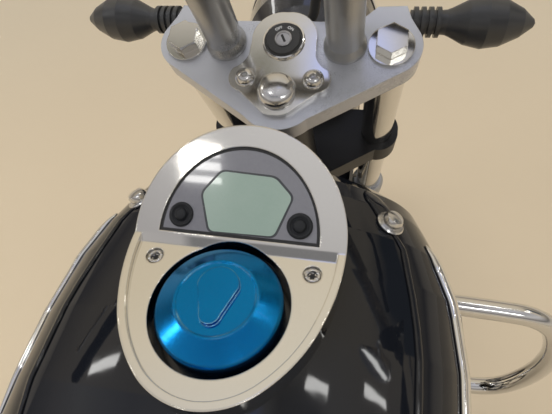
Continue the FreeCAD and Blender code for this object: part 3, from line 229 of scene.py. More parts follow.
FLOOR_REACH = 40
floor_stone = finish("polished_floor", (0.605, 0.490, 0.335), (0.620, 0.505, 0.347), (0.50, 0.56), 0.8, 8.0)
stone = floor_stone.node_tree
# Painted light: the floor's colour grows lighter away from the middle, making up for the lamps' falloff.
from_middle = add(stone, "ShaderNodeVectorMath", {0: add(stone, "ShaderNodeNewGeometry")}, operation="LENGTH")
far_off = add(stone, "ShaderNodeMapRange", {"Value": from_middle.outputs["Value"], "From Min": 1.3,
                                            "From Max": 5.0}, interpolation_type="SMOOTHSTEP")
mix_in(floor_stone, far_off.outputs[0], colour=(0.95, 0.80, 0.57))
corners = [(x * FLOOR_REACH, y * FLOOR_REACH, 0) for x, y in ((-1, -1), (1, -1), (1, 1), (-1, 1))]
mesh_object("floor", corners, [(0, 1, 2, 3)], floor_stone)

world = bpy.data.worlds.new("pale_room")
scene.world = world
world.use_nodes = True
room = world.node_tree
room.nodes.clear()
aim = add(room, "ShaderNodeSeparateXYZ", {0: add(room, "ShaderNodeTexCoord").outputs["Generated"]})
side_way, fore_way, rise_way = aim.outputs
height = add(room, "ShaderNodeMapRange", {"Value": rise_way, "From Min": -0.2, "From Max": 1.0})


def wall(steps):
    """The room's tones from the floor to the ceiling: steps of (height, colour)."""
    ramp = add(room, "ShaderNodeValToRGB", {0: height})
    stops = ramp.color_ramp.elements
    stops[0].color, stops[1].color = tone(steps[0][1]), tone(steps[-1][1])
    for spot, colour in steps[1:-1]:
        stops.new(spot).color = tone(colour)
    return ramp.outputs[0]


fore_wall = wall(((0.0, (0.58, 0.49, 0.36)), (0.17, (0.60, 0.53, 0.42)), (0.30, (0.50, 0.44, 0.36)),
                  (0.38, (0.16, 0.14, 0.12)), (0.50, (0.44, 0.38, 0.29)), (0.66, (0.62, 0.53, 0.40)),
                  (0.86, (0.66, 0.58, 0.45)), (1.0, (0.72, 0.67, 0.58))))
aft_wall = wall(((0.0, (0.58, 0.49, 0.36)), (0.17, (0.60, 0.53, 0.42)), (0.30, (0.50, 0.45, 0.39)),
                 (0.38, (0.16, 0.15, 0.14)), (0.50, (0.40, 0.37, 0.35)), (0.62, (0.60, 0.58, 0.56)),
                 (0.80, (0.42, 0.41, 0.42)), (1.0, (0.66, 0.65, 0.66))))
facing = add(room, "ShaderNodeMapRange", {"Value": fore_way, "From Min": -0.12, "From Max": 0.22})
far = maths(room, "MAXIMUM", rise_way, 0.05)
across = maths(room, "DIVIDE", side_way, far)
along = maths(room, "DIVIDE", fore_way, far)
above = maths(room, "GREATER_THAN", rise_way, 0.16)


def patch(u, half_u, v, half_v, soft):
    """A patch of the ceiling one metre up: its middle and half sizes across and along, with soft edges."""
    flat = maths(room, "MULTIPLY", band(room, across, u - half_u, u + half_u, soft),
                 band(room, along, v - half_v, v + half_v, soft))
    return maths(room, "MULTIPLY", flat, above)


wall_tone = mixed(room, facing, aft_wall, fore_wall)
for u, half_u, v, half_v, soft, colour in (
        (-0.36, 0.18, -0.01, 0.08, 0.04, (0.24, 0.23, 0.19)),
        (-0.04, 0.09, 0.00, 0.10, 0.03, (0.66, 0.74, 1.20)),
        (0.26, 0.16, 0.00, 0.10, 0.05, (0.32, 0.30, 0.28)),
        (1.45, 0.62, 0.85, 0.34, 0.12, (0.08, 0.09, 0.10)),
        (-0.20, 0.30, -0.72, 0.05, 0.02, (0.20, 0.20, 0.21))):
    wall_tone = mixed(room, patch(u, half_u, v, half_v, soft), wall_tone, tone(colour))
strips = 0.0
for u, half_u, v, half_v in (
        (-1.30, 0.20, 0.15, 0.022), (0.36, 0.075, 0.11, 0.014), (0.78, 0.10, 0.16, 0.015),
        (0.90, 0.06, 0.50, 0.020),
        (-0.415, 0.055, -0.345, 0.014), (-0.415, 0.055, -0.385, 0.012), (-0.415, 0.055, -0.425, 0.010),
        (0.55, 0.22, -0.9, 0.05), (-1.9, 0.3, -0.6, 0.08)):
    strips = maths(room, "MAXIMUM", strips, patch(u, half_u, v, half_v, 0.004))
ambient = add(room, "ShaderNodeBackground", {"Color": (0.93, 0.93, 0.95, 1), "Strength": 0.56})
seen = add(room, "ShaderNodeBackground", {"Color": wall_tone, "Strength": 1.0})
glow = add(room, "ShaderNodeBackground", {"Color": (1.0, 0.99, 0.96, 1), "Strength": 11.0})
lit = add(room, "ShaderNodeMixShader", {0: strips, 1: seen, 2: glow})
ray = add(room, "ShaderNodeLightPath").outputs
eye_ray = maths(room, "MAXIMUM", ray["Is Camera Ray"], ray["Is Transmission Ray"])
seeing_ray = maths(room, "MAXIMUM", eye_ray, ray["Is Glossy Ray"])
add(room, "ShaderNodeOutputWorld", {0: add(room, "ShaderNodeMixShader", {0: seeing_ray, 1: ambient, 2: lit})})

LIGHT_AIM = Vector((0, 0.1, 0.7))
for name, place, size, power in (
        ("soft_top", (-0.5, 0.7, 3.2), (2.6, 2.2), 49.0), ("soft_left", (-3.0, -0.6, 2.0), (1.8, 1.4), 24.0),
        ("soft_right", (3.0, 1.0, 1.9), (1.6, 1.3), 18.0), ("soft_back", (0.4, -3.2, 2.2), (1.8, 1.2), 22.0)):
    data = bpy.data.lights.new(name, "AREA")
    data.energy = power
    data.shape = "RECTANGLE"
    data.size, data.size_y = size
    lamp = bpy.data.objects.new(name, data)
    lamp.location = place
    lamp.rotation_euler = (LIGHT_AIM - Vector(place)).to_track_quat("-Z", "Y").to_euler()
    lamp.visible_glossy = False
    scene.collection.objects.link(lamp)

# The frame and its stands, the swingarm and the lower yoke
# Welded steel tube, powder coated black; the aluminium lower yoke carries the headlamp's two arms.
frame_black = finish("frame_coat", (0.006, 0.006, 0.007), (0.011, 0.011, 0.012), (0.38, 0.50), 14.0, 700.0,
                     0.1, coat=0.15, coat_rough=0.2, edge=0.10, radius=0.0010)
shader_of(frame_black).inputs["Specular IOR Level"].default_value = 0.25


def dress(names, material):
    """Gives CAD pieces one finish."""
    for name in names.split():
        node[name].data.materials.clear()
        node[name].data.materials.append(material)


dress("frame centre_stand side_stand swingarm lower_yoke", frame_black)

# The fuel tank
# Pressed steel, welded along its lower seam and sprayed deep black under lacquer, over the backbone tube.
# Two soft pressed creases run back from its nose, and a plain bright strip lies along each side.
X, Y, Z = Matrix.Identity(3)
SIDES = ((-1, "left"), (1, "right"))
CONSOLE_SLOPE, DISPLAY_SLOPE = 4.0, 30.3


def face_at(origin, x_way, y_way, h_way):
    """A face's own millimetres (x, y, height) as points, from its origin and the ways of its three axes."""
    return lambda x, y, h: origin + (x_way * x + y_way * y + h_way * h) / 1000


def sloped(origin, slope):
    """A face whose y runs ahead and up at this slope in degrees."""
    ahead = Vector((0, math.cos(math.radians(slope)), math.sin(math.radians(slope))))
    return face_at(origin, X, ahead, X.cross(ahead))


def moved(face, sideways, ahead):
    """The same face, counted from another point of it."""
    return lambda x, y, h: face(x + sideways, y + ahead, h)


on_console = sloped(CAP, CONSOLE_SLOPE)
on_instrument = sloped(on_console(0, 48.4, 4.0), CONSOLE_SLOPE + DISPLAY_SLOPE)


def surface_finder(made):
    """A tree over an object's faces, for laying trim on its surface."""
    return BVHTree.FromPolygons([v.co for v in made.data.vertices], [p.vertices for p in made.data.polygons])


def net(rows, columns, round_rows=False, round_columns=False):
    """Faces over a net of points; a round net joins its last row or column to the first."""
    return [(i * columns + k, i * columns + (k + 1) % columns, (i + 1) % rows * columns + (k + 1) % columns,
             (i + 1) % rows * columns + k) for i in range(rows if round_rows else rows - 1)
            for k in range(columns if round_columns else columns - 1)]


def shade(made, angle):
    """Smooth shading, with every edge past this angle in degrees left sharp."""
    made.data.shade_smooth()
    made.data.set_sharp_from_angle(angle=math.radians(angle))


tank_black = finish("tank_lacquer", (0.004, 0.005, 0.007), (0.007, 0.008, 0.011), (0.025, 0.05), 4.0, 1400.0,
                    radius=0.0015)
ripple = add(tank_black.node_tree, "ShaderNodeTexNoise",
             {"Vector": object_place(tank_black.node_tree), "Scale": 55.0, "Detail": 1.0})
emboss(tank_black, ripple, 0.04, 0.002, shader_of(tank_black).inputs["Normal"].links[0].from_socket)
dress("fuel_tank", tank_black)
tank_skin = surface_finder(node["fuel_tank"])


def tank_strip(name, side, tilt, spots, half_width, crown, material, stand_off, rows, fade):
    """A strip laid along the tank: spots are (ahead of the cap, height of aim) in millimetres."""
    steps, wall_thickness = 12, 0.0008
    way = Vector((-side * math.cos(math.radians(tilt)), 0, -math.sin(math.radians(tilt))))
    points, normals = [], []
    for k in range(len(spots) * steps - steps + 1):
        i, t = divmod(k, steps)
        (ahead, aim), (next_ahead, next_aim) = spots[i], spots[min(i + 1, len(spots) - 1)]
        target = CAP + Vector((0, ahead + (next_ahead - ahead) * t / steps,
                               aim + (next_aim - aim) * t / steps)) / 1000
        hit, normal, _, _ = tank_skin.ray_cast(target - way * 0.4, way)
        points.append(hit)
        normals.append(normal)
    verts, total = [], len(points)
    for k, (point, normal) in enumerate(zip(points, normals)):
        along = (points[min(k + 1, total - 1)] - points[max(k - 1, 0)]).normalized()
        across = along.cross(normal).normalized()
        taper = min(1.0, (min(k, total - 1 - k) + 0.15) / fade) ** 0.5
        for r in range(rows):
            u = 2.0 * r / (rows - 1) - 1.0
            near, face_normal, _, _ = tank_skin.find_nearest(point + across * (u * half_width * taper))
            verts.append(near + face_normal * (stand_off + crown * (1 - u * u) ** 0.5 * taper))
    made = mesh_object(name, verts, net(total, rows), material)
    shade(made, 50)
    mesh = bmesh.new()
    mesh.from_mesh(made.data)
    bmesh.ops.solidify(mesh, geom=mesh.faces[:], thickness=-wall_thickness)
    bmesh.ops.recalc_face_normals(mesh, faces=mesh.faces[:])
    mesh.to_mesh(made.data)
    mesh.free()
    return made


lug_faces = []
side_strip = finish("side_strip_chrome", (0.78, 0.78, 0.79), 0.84, (0.05, 0.12), 14.0, 300.0, metal=1.0)
for side, hand in SIDES:
    for what, tilt, spots, half_width, crown, material, stand_off, rows, fade in (
            ("side_strip", 0, [(106, -47), (84, -55), (50, -64), (12, -70), (-34, -75), (-80, -79)],
             0.0060, 0.0036, side_strip, 0.0002, 7, 10),
            ("crease", 45, [(104, -134), (85, -152), (64, -158), (44, -164), (22, -169), (0, -172),
                            (-24, -174), (-60, -176), (-110, -174)], 0.0026, 0.0011, tank_black, 0.0, 7, 16),
            ("nose_bracket", 45, [(98, -140), (112, -134), (126, -123), (140, -112)],
             0.0085, 0.0018, tank_black, 0.0002, 9, 8)):
        strip = tank_strip(f"tank_{what}_{hand}", side, tilt, spots, half_width, crown, material, stand_off,
                           rows, fade)
        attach(strip, "chassis")
    foot, facing, _, _ = tank_skin.ray_cast(CAP + Vector((side * 0.1115, 0.107, 0.2)), -Z)
    sideways = facing.cross(Y).normalized()
    lug_faces.append(face_at(foot + facing * 0.0012, sideways, facing.cross(sideways), facing))

# The console, its display and its screws
# One heavy chromed die casting on top of the tank, held by two socket screws in sunk seats. The display sits
# behind a smoked acrylic pane in its raised front half, with a rubber button in each lower corner.
dress("tank_console", finish("console_chrome", (0.81, 0.79, 0.745), (0.85, 0.83, 0.785), (0.03, 0.085), 7.0,
                             500.0, metal=1.0, radius=0.0016))
dress("instrument", finish("smoked_acrylic", (0.115, 0.113, 0.128), (0.140, 0.138, 0.152), (0.06, 0.10), 5.0,
                           300.0, coat=1.0, coat_rough=0.01, ior=1.6))


def rounded_corners(points, radius, steps=5):
    """A closed flat outline with each corner rounded by a small arc."""
    out = []
    for k, point in enumerate(points):
        here = Vector(point)
        back, on = Vector(points[k - 1]) - here, Vector(points[(k + 1) % len(points)]) - here
        reach = min(radius, back.length * 0.45, on.length * 0.45)
        a, b = here + back.normalized() * reach, here + on.normalized() * reach
        for t in range(steps + 1):
            u = t / steps
            out.append(a * (1 - u) ** 2 + here * 2 * u * (1 - u) + b * u * u)
    return out


def face_out(made):
    """Every face turned outwards, after doubles are merged."""
    mesh = bmesh.new()
    mesh.from_mesh(made.data)
    bmesh.ops.remove_doubles(mesh, verts=mesh.verts[:], dist=1e-6)
    bmesh.ops.recalc_face_normals(mesh, faces=mesh.faces[:])
    mesh.to_mesh(made.data)
    mesh.free()


def loft(name, rings, material, smooth, caps=False, joined=False):
    """A closed skin over rings of points, with its ends capped, or with its last ring joined to the first."""
    total, size = len(rings), len(rings[0])
    faces = net(total, size, joined, True)
    if caps:
        faces += [tuple(reversed(range(size))), tuple(range((total - 1) * size, total * size))]
    made = mesh_object(name, [point for ring in rings for point in ring], faces, material)
    face_out(made)
    shade(made, smooth)
    return made


def flat_plate(name, outline, face, low, high, material):
    """A flat piece on a face between two heights."""
    return loft(name, [[face(p.x, p.y, level) for p in outline] for level in (low, high)], material, 30,
                caps=True)


def flat_frame(name, outlines, face, material):
    """A flat ring: outlines are (outline, height), from the outer foot over the top to the inner foot."""
    return loft(name, [[face(p.x, p.y, level) for p in outline] for outline, level in outlines], material, 30,
                joined=True)


def lathe(name, profile, face, material, turns=48, smooth=32):
    """A turned piece: profile is (radius, height) from the axis round to the axis, on a face's own axes."""
    ways = [(math.cos(2 * math.pi * k / turns), math.sin(2 * math.pi * k / turns)) for k in range(turns)]
    return loft(name, [[face(r * c, r * s, h) for c, s in ways] for r, h in profile], material, smooth)


DISPLAY_FLOOR = -1.02
pane = rounded_corners([(-17.8, 51.0), (23.1, 49.2), (37.3, 35.6), (26.9, 6.2), (-21.5, 5.4), (-30.9, 33.2)],
                       4.0)
pane_middle = Vector((4.0, 24.0))
liquid_crystal = finish("liquid_crystal", (0.205, 0.275, 0.228), (0.235, 0.300, 0.255), (0.10, 0.16), 18.0,
                        700.0, coat=1.0, coat_rough=0.015)
# The pane's edge is painted shade: a dark border sheet round the display, where its edge lies in shadow.
pane_edge = finish("pane_edge_painted_shade", (0.030, 0.033, 0.035), (0.045, 0.048, 0.050), (0.2, 0.3), 30.0, 700.0)
gasket_black = finish("gasket_black", (0.006, 0.006, 0.007), 0.014, (0.4, 0.55), 60.0, 900.0)
grown = [p + (p - pane_middle).normalized() * 1.8 for p in pane]
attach(flat_plate("display_window", pane, on_instrument, DISPLAY_FLOOR, -0.86, liquid_crystal), "chassis")
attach(flat_plate("display_window_shade_border", grown, on_instrument, DISPLAY_FLOOR, -0.93, pane_edge), "chassis")


def arch_of_display(inset):
    """The display's outline: half an ellipse standing on a straight edge."""
    w, high, low = 60.2 - inset, 68.4 - 2 * inset, 2.4 + inset
    angles = [math.radians(a) for a in range(0, 181, 4)]
    return [Vector((w * math.cos(a), low + high * math.sin(a))) for a in angles]


outer, inner = arch_of_display(0.0), arch_of_display(2.1)
gasket = flat_frame("display_gasket", ((outer, DISPLAY_FLOOR), (outer, -0.72), (inner, -0.72),
                                       (inner, DISPLAY_FLOOR)), on_instrument, gasket_black)
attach(gasket, "chassis")
button_rubber = finish("button_rubber", (0.004, 0.005, 0.007), (0.008, 0.009, 0.011), (0.5, 0.66), 60.0,
                       1800.0, 0.3)
screw_steel = finish("screw_steel", (0.60, 0.60, 0.61), 0.70, (0.10, 0.22), 60.0, 900.0, metal=1.0,
                     radius=0.0003)
socket_dark = finish("socket_shadow", 0.02, 0.05, (0.5, 0.7), 90.0, 900.0, 0.2, metal=0.6)


def join(made, others):
    """Other pieces made one with this one."""
    whole = [made] + others
    with bpy.context.temp_override(active_object=made, selected_editable_objects=whole,
                                   selected_objects=whole):
        bpy.ops.object.join()


STAR_POINTS, PETALS, PETAL_CIRCLE = (3.3, 1.7), 6, 4.15
for (side, hand), on_lug in zip(SIDES, lug_faces):
    collar = lathe(f"button_collar_{hand}", [(0.0, -0.95), (9.4, -0.95), (9.4, -0.1), (8.7, 0.7), (7.7, 1.0),
                                             (6.7, 0.7), (6.2, 0.0), (5.2, -0.2), (4.6, 0.5), (4.1, 1.7),
                                             (3.0, 2.3), (1.4, 2.5), (0.0, 2.5)],
                   moved(on_instrument, side * 45.0, 15.5), button_rubber)
    lug = lathe(f"tank_nose_bolt_{hand}", [(0.0, -0.8), (11.5, -0.8), (12.0, 0.8), (11.0, 1.8), (8.6, 2.0),
                                           (8.4, 6.2), (7.0, 8.4), (3.8, 9.4), (0.0, 9.6)], on_lug,
                screw_steel, 40)
    at_screw = moved(on_console, side * 58.0, 31.0)
    head = lathe(f"console_screw_{hand}",
                 [(0.0, -3.15), (5.7, -3.15), (5.9, -2.4), (5.2, -0.9), (4.6, -0.7), (3.5, -0.8), (3.1, -1.6),
                  (2.7, -2.7), (0.0, -2.7)], at_screw, screw_steel)
    star = [Vector((math.cos(math.radians(30 * k)), math.sin(math.radians(30 * k)))) * STAR_POINTS[k % 2]
            for k in range(12)]
    well = flat_plate(f"console_screw_socket_{hand}", star, at_screw, -2.69, -2.5, socket_dark)
    petals = []
    for k in range(PETALS):
        a = math.radians(360 / PETALS * k + 30)
        at_petal = moved(at_screw, PETAL_CIRCLE * math.cos(a), PETAL_CIRCLE * math.sin(a))
        petals.append(lathe(f"petal_{k}", [(0.0, -1.5), (0.95, -1.4), (1.0, -0.75), (0.5, -0.35),
                                           (0.0, -0.3)], at_petal, screw_steel, 16))
    join(head, petals)
    for piece in (collar, lug, head, well):
        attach(piece, "chassis")

# The filler cap
# Turned from aluminium and anodised bright blue: a smooth cone, a flat top and a raised egg-shaped grip.
# It screws into the tank's neck through the console's hole.
# The pale cyan edge colour is a painted highlight along the cap's turned edges.
cap_blue = finish("cap_anodising", (0.002, 0.18, 0.48), (0.004, 0.225, 0.56), (0.12, 0.22), 9.0, 1200.0, 0.05,
                  0.96, 0.12, 0.08, edge=(0.50, 0.82, 1.0), radius=0.0013)


def turned_grain(material, axis, amount):
    """The fine rings that turning leaves, drawn out in the gloss round an axis."""
    shader_of(material).inputs["Anisotropic"].default_value = amount
    grain = add(material.node_tree, "ShaderNodeTangent", direction_type="RADIAL", axis=axis)
    material.node_tree.links.new(grain.outputs["Tangent"], shader_of(material).inputs["Tangent"])


turned_grain(cap_blue, "Z", 0.75)
dress("filler_cap", cap_blue)

# The yoke, its cover and the ignition switch
# A cast and painted upper yoke clamps both fork tubes. A polished cover lies between the risers, with the
# switch in front, the stem nut's dome behind and two small dome screws beside it.
STEM = Vector((0.0, 0.422399, 0.917013))
on_yoke = sloped(STEM, 30.5)
at_switch = moved(on_yoke, 0.0, 54.0)
dress("upper_yoke", finish("yoke_silver_paint", (0.415, 0.425, 0.465), (0.475, 0.485, 0.525), (0.26, 0.34),
                           10.0, 1600.0, 0.12, 0.55, 0.25, 0.2, edge=(0.72, 0.72, 0.74), radius=0.0016))
dress("yoke_fittings", finish("fittings_chrome", (0.70, 0.69, 0.66), (0.78, 0.77, 0.74), (0.09, 0.16), 20.0,
                              700.0, metal=1.0, radius=0.0012))
dress("ignition_switch switch_housings", finish("switch_plastic", (0.014, 0.014, 0.015), 0.024, (0.40, 0.55),
                                                30.0, 1800.0, 0.35, radius=0.0006))
for side, hand in SIDES:
    screw = lathe(f"cover_screw_{hand}", [(0.0, 5.4), (10.0, 5.4), (10.2, 6.2), (9.6, 6.8), (8.6, 6.6),
                                          (8.2, 7.2), (7.2, 9.2), (5.2, 10.6), (3.4, 11.0), (2.8, 10.2),
                                          (2.4, 8.6), (0.0, 8.6)], moved(on_yoke, side * 33.0, 14.0),
                  screw_steel)
    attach(screw, "steering")
dome = lathe("stem_dome", [(0.0, 5.6), (18.2, 5.6), (18.2, 8.6), (17.6, 10.6), (16.2, 12.6), (13.8, 14.3),
                           (10.6, 15.5), (6.8, 16.3), (3.0, 16.6), (0.0, 16.65)], on_yoke, screw_steel, 64,
             50)
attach(dome, "steering")
key_metal = finish("switch_face_metal", (0.36, 0.36, 0.37), (0.46, 0.46, 0.47), (0.25, 0.4), 50.0, 1200.0,
                   0.1, 0.9, radius=0.0003)
switch_ring = finish("switch_ring_chrome", (0.75, 0.75, 0.76), 0.82, (0.06, 0.14), 30.0, 500.0, metal=1.0)
ring = lathe("switch_ring", [(18.3, 5.6), (20.6, 5.6), (20.9, 6.6), (20.2, 8.2), (18.9, 8.6), (18.3, 8.0),
                             (18.3, 5.6)], at_switch, switch_ring, 64)
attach(ring, "steering")
barrel = lathe("switch_barrel", [(0.0, 9.52), (8.4, 9.52), (8.4, 10.2), (7.6, 10.7), (6.4, 10.7), (6.1, 10.1),
                                 (0.0, 10.1)], at_switch, key_metal)
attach(barrel, "steering")
# The key slot is painted shade: a dark plate on the barrel where the slot's hollow lies in shadow.
slot_shade = finish("key_slot_dark", 0.008, 0.016, (0.4, 0.6), 90.0, 900.0)
key_turn = Matrix.Rotation(math.radians(28), 2)
slot = [key_turn @ Vector(corner) for corner in ((-1.2, -4.4), (1.2, -4.4), (1.2, 4.4), (-1.2, 4.4))]
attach(flat_plate("key_slot", rounded_corners(slot, 0.8), at_switch, 10.05, 10.2, slot_shade), "steering")


def plain_mesh(made, name):
    """The object's evaluated shape as a new plain mesh object, its modifiers or its curve gone."""
    shape = bpy.data.meshes.new_from_object(made.evaluated_get(bpy.context.evaluated_depsgraph_get()))
    data = made.data
    bpy.data.objects.remove(made)
    (bpy.data.meshes if isinstance(data, bpy.types.Mesh) else bpy.data.curves).remove(data)
    made = bpy.data.objects.new(name, shape)
    scene.collection.objects.link(made)
    return made


def of_curve(name, data, material):
    """A curve or a word as a plain mesh object with one finish."""
    made = bpy.data.objects.new(name, data)
    scene.collection.objects.link(made)
    made = plain_mesh(made, name)
    made.data.materials.clear()
    made.data.materials.append(material)
    return made


MARK_CIRCLE, MARK_HEIGHT = 12.4, 9.56
mark_white = finish("switch_marks", (0.72, 0.72, 0.70), (0.62, 0.62, 0.60), (0.5, 0.6), 200.0, 1500.0)
for word, where, size, spin in (("ON", 62, 4.4, -28), ("OFF", 118, 4.2, 28)):
    data = bpy.data.curves.new("switch_word", "FONT")
    data.body = word
    data.size = size
    data.align_x = data.align_y = "CENTER"
    mark = of_curve(f"switch_mark_{word.lower()}", data, mark_white)
    middle = Vector((math.cos(math.radians(where)), math.sin(math.radians(where)))) * MARK_CIRCLE
    for vertex in mark.data.vertices:
        spot = Matrix.Rotation(math.radians(spin), 2) @ vertex.co.xy + middle
        vertex.co = at_switch(spot.x, spot.y, MARK_HEIGHT)
    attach(mark, "steering")

# The bars, grips, levers and mirrors
# Satin grey tube clamped in two tall risers, rubber grips with fine rings, black switch housings, chromed
# levers on short perches and oval chromed mirrors on bent rods.
dress("handlebar", finish("bar_satin_grey", (0.36, 0.36, 0.355), (0.42, 0.42, 0.415), (0.24, 0.34), 12.0,
                          1500.0, 0.12, 0.75, 0.3, 0.2, edge=0.42, radius=0.0010))
dress("hand_levers mirrors", finish("lever_chrome", (0.74, 0.74, 0.75), 0.80, (0.06, 0.13), 16.0, 500.0,
                                    metal=1.0, radius=0.0008))
grip_rubber = finish("grip_rubber", 0.016, (0.028, 0.028, 0.027), (0.5, 0.7), 24.0, 900.0, 0.3)
mirror_silver = finish("mirror_silver", (0.90, 0.91, 0.92), (0.93, 0.94, 0.94), (0.005, 0.02), 6.0, 300.0,
                       metal=1.0)
BAR_MIDDLE = on_yoke(0, 54, 98)
bar_end = Vector((428, -232, 26))
bar_inward = (Vector((292, -62, 60)) - bar_end).normalized()
over_bar = bar_inward.cross(Z).normalized()
lever_way = ((Y - bar_inward * bar_inward.y).normalized() + Vector((0, 0, -0.15))).normalized()
mirror_middle = bar_end + bar_inward * 185.5 + lever_way * 23 + Vector((88, -47, 198.2))
glass_across, glass_up, glass_out = (Vector(way) for way in (
    (0.9703, -0.2419, 0.0), (0.0253, 0.1014, -0.9945), (0.2406, 0.9650, 0.1045)))
GLASS_HEIGHT_SHARE = 37 / 62
RIBS, RIB_PITCH = 25, 4.7
rings = [(0.0, -6.0), (14.6, -6.0), (16.6, -4.8), (17.0, -2.6), (17.0, 3.0)]
for k in range(RIBS):
    rings += [(r, h + RIB_PITCH * k) for r, h in ((15.4, 4.2), (15.4, 5.2), (16.9, 6.0), (16.9, 7.8))]
rings += [(17.0, 123.0), (17.0, 126.6), (16.2, 128.0), (12.95, 128.0), (12.95, -0.4), (0.0, -0.4)]
for side, hand in SIDES:
    def of_side(place, *ways):
        """A face counted from the middle of the bars, given for the right and mirrored for the left."""
        place, *ways = (Vector((side * v.x, v.y, v.z)) for v in (place, *ways))
        return face_at(BAR_MIDDLE + place / 1000, *ways)

    at_grip = of_side(bar_end, over_bar, bar_inward.cross(over_bar), bar_inward)
    grip = lathe(f"ribbed_grip_{hand}", rings, at_grip, grip_rubber, 36, 50)
    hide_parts("grips")
    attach(grip, "steering")
    at_glass = of_side(mirror_middle, glass_across, glass_up * GLASS_HEIGHT_SHARE, glass_out)
    glass = lathe(f"mirror_glass_{hand}", [(0.0, -3.4), (24, -3.3), (42, -3.1), (56, -2.85), (60.6, -2.65),
                                           (61.4, -2.52), (0.0, -2.52)], at_glass, mirror_silver, 72, 60)
    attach(glass, "steering")

# The fork, its mudguard and the brake
# Chromed tubes in cast sliders, a short pressed mudguard bolted to the sliders, one disc on the left with a
# two-pot caliper, and a rubber hose up to the right bar.
dress("fork_tubes", finish("fork_hard_chrome", (0.70, 0.69, 0.67), (0.76, 0.75, 0.73), (0.07, 0.14), 12.0,
                           600.0, metal=1.0, radius=0.0008))
dress("fork_sliders front_caliper", finish("cast_aluminium", (0.42, 0.43, 0.45), (0.52, 0.53, 0.54),
                                           (0.32, 0.48), 14.0, 900.0, 0.35, 0.9, edge=0.72, radius=0.0010))
brake_steel = finish("brake_steel", 0.46, (0.56, 0.56, 0.55), (0.20, 0.36), 40.0, 1200.0, 0.1, 1.0,
                     radius=0.0005)
turned_grain(brake_steel, "X", 0.6)
dress("front_brake_disc front_axle", brake_steel)
dress("front_fender rear_fender side_covers", finish("mudguard_lacquer", (0.007, 0.007, 0.009),
                                                     (0.012, 0.012, 0.015), (0.14, 0.24), 5.0, 1400.0,
                                                     coat=1.0, coat_rough=0.015, radius=0.0010))
dress("brake_hose", finish("hose_rubber", 0.016, 0.026, (0.5, 0.68), 60.0, 1500.0, 0.4))

# The seats
# Moulded foam on a steel pan under black grained vinyl, sewn from a top panel and side bands, with a piping.
# The rider's seat is dished behind the tank, and the narrower passenger's seat stands on the mudguard.
vinyl = finish("seat_vinyl", (0.014, 0.014, 0.015), 0.022, (0.42, 0.56), 8.0, 260.0, coat=0.12,
               coat_rough=0.3, sheen=0.15)
cells = add(vinyl.node_tree, "ShaderNodeTexVoronoi",
            {"Vector": object_place(vinyl.node_tree), "Scale": 620.0}, feature="DISTANCE_TO_EDGE")
emboss(vinyl, add(vinyl.node_tree, "ShaderNodeMapRange", {"Value": cells, "From Max": 0.22}), 0.35, 0.0003)
piping_vinyl = finish("piping_vinyl", (0.020, 0.020, 0.021), 0.030, (0.36, 0.5), 60.0, 900.0, 0.3)
thread = finish("seat_thread", (0.055, 0.055, 0.056), 0.085, (0.6, 0.8), 300.0, 2500.0, 0.4)
VOXEL, SHRINK, HELD_LOW, HELD_FRONT, CLOTH_FRAMES = 0.006, 0.0035, 0.022, 0.03, 20


def padded_seat(name, cad_name, swell, keep_low, keep_front):
    """A CAD seat shrunk a little, remeshed and swollen by cloth, flat where it sits on the machine."""
    mesh = bmesh.new()
    mesh.from_mesh(node[cad_name].data)
    bmesh.ops.remove_doubles(mesh, verts=mesh.verts[:], dist=1e-5)
    mesh.normal_update()
    for vertex in mesh.verts:
        if vertex.co.z > keep_low + 0.006:
            vertex.co -= vertex.normal * SHRINK
    made = mesh_object(name, [], [])
    mesh.to_mesh(made.data)
    mesh.free()
    grid = made.modifiers.new("even", "REMESH")
    grid.mode = "VOXEL"
    grid.voxel_size = VOXEL
    made = plain_mesh(made, name)
    relax = made.modifiers.new("relax", "SMOOTH")
    relax.factor, relax.iterations = 0.5, 4
    made = plain_mesh(made, name)
    start = np.array([v.co[:] for v in made.data.vertices])
    free = np.clip((start[:, 2] - keep_low) / HELD_LOW, 0, 1)
    free *= np.clip((keep_front - start[:, 1]) / HELD_FRONT, 0, 1)
    held = made.vertex_groups.new(name="pan")
    for k, amount in enumerate(free):
        held.add([k], float(1.0 - amount), "REPLACE")
    cloth = made.modifiers.new("foam", "CLOTH")
    cloth.settings.quality = 4
    cloth.settings.use_pressure = True
    cloth.settings.uniform_pressure_force = 4.0
    cloth.settings.mass = 0.3
    cloth.settings.effector_weights.gravity = 0.0
    cloth.settings.vertex_group_mass = "pan"
    cloth.collision_settings.use_collision = False
    cloth.point_cache.frame_start, cloth.point_cache.frame_end = 1, CLOTH_FRAMES
    for number in range(1, CLOTH_FRAMES + 1):
        scene.frame_set(number)
    made = plain_mesh(made, name)
    scene.frame_set(1)
    move = np.array([v.co[:] for v in made.data.vertices]) - start
    length = np.maximum(np.linalg.norm(move, axis=1), 1e-9)
    move *= (np.minimum(length, swell) / length * free)[:, None]
    for vertex, spot in zip(made.data.vertices, start + move):
        vertex.co = spot
    made.vertex_groups.clear()
    finer = made.modifiers.new("finer", "SUBSURF")
    finer.levels = finer.render_levels = 1
    made = plain_mesh(made, name)
    made.data.materials.clear()
    made.data.materials.append(vinyl)
    made.data.shade_smooth()
    return made


def piped_seam(name, points, normals):
    """A round piping laid along points of a seat's skin."""
    rings, last, cord_radius, sunk = [], len(points) - 1, 0.0024, 0.0004
    for k, (point, normal) in enumerate(zip(points, normals)):
        along = (points[min(k + 1, last)] - points[max(k - 1, 0)]).normalized()
        across = along.cross(normal).normalized()
        turns = [2 * math.pi * r / 8 for r in range(8)]
        rings.append([point + across * (cord_radius * math.cos(a)) + normal
                      * (cord_radius * math.sin(a) + sunk) for a in turns])
    return loft(name, rings, piping_vinyl, 60, caps=True)


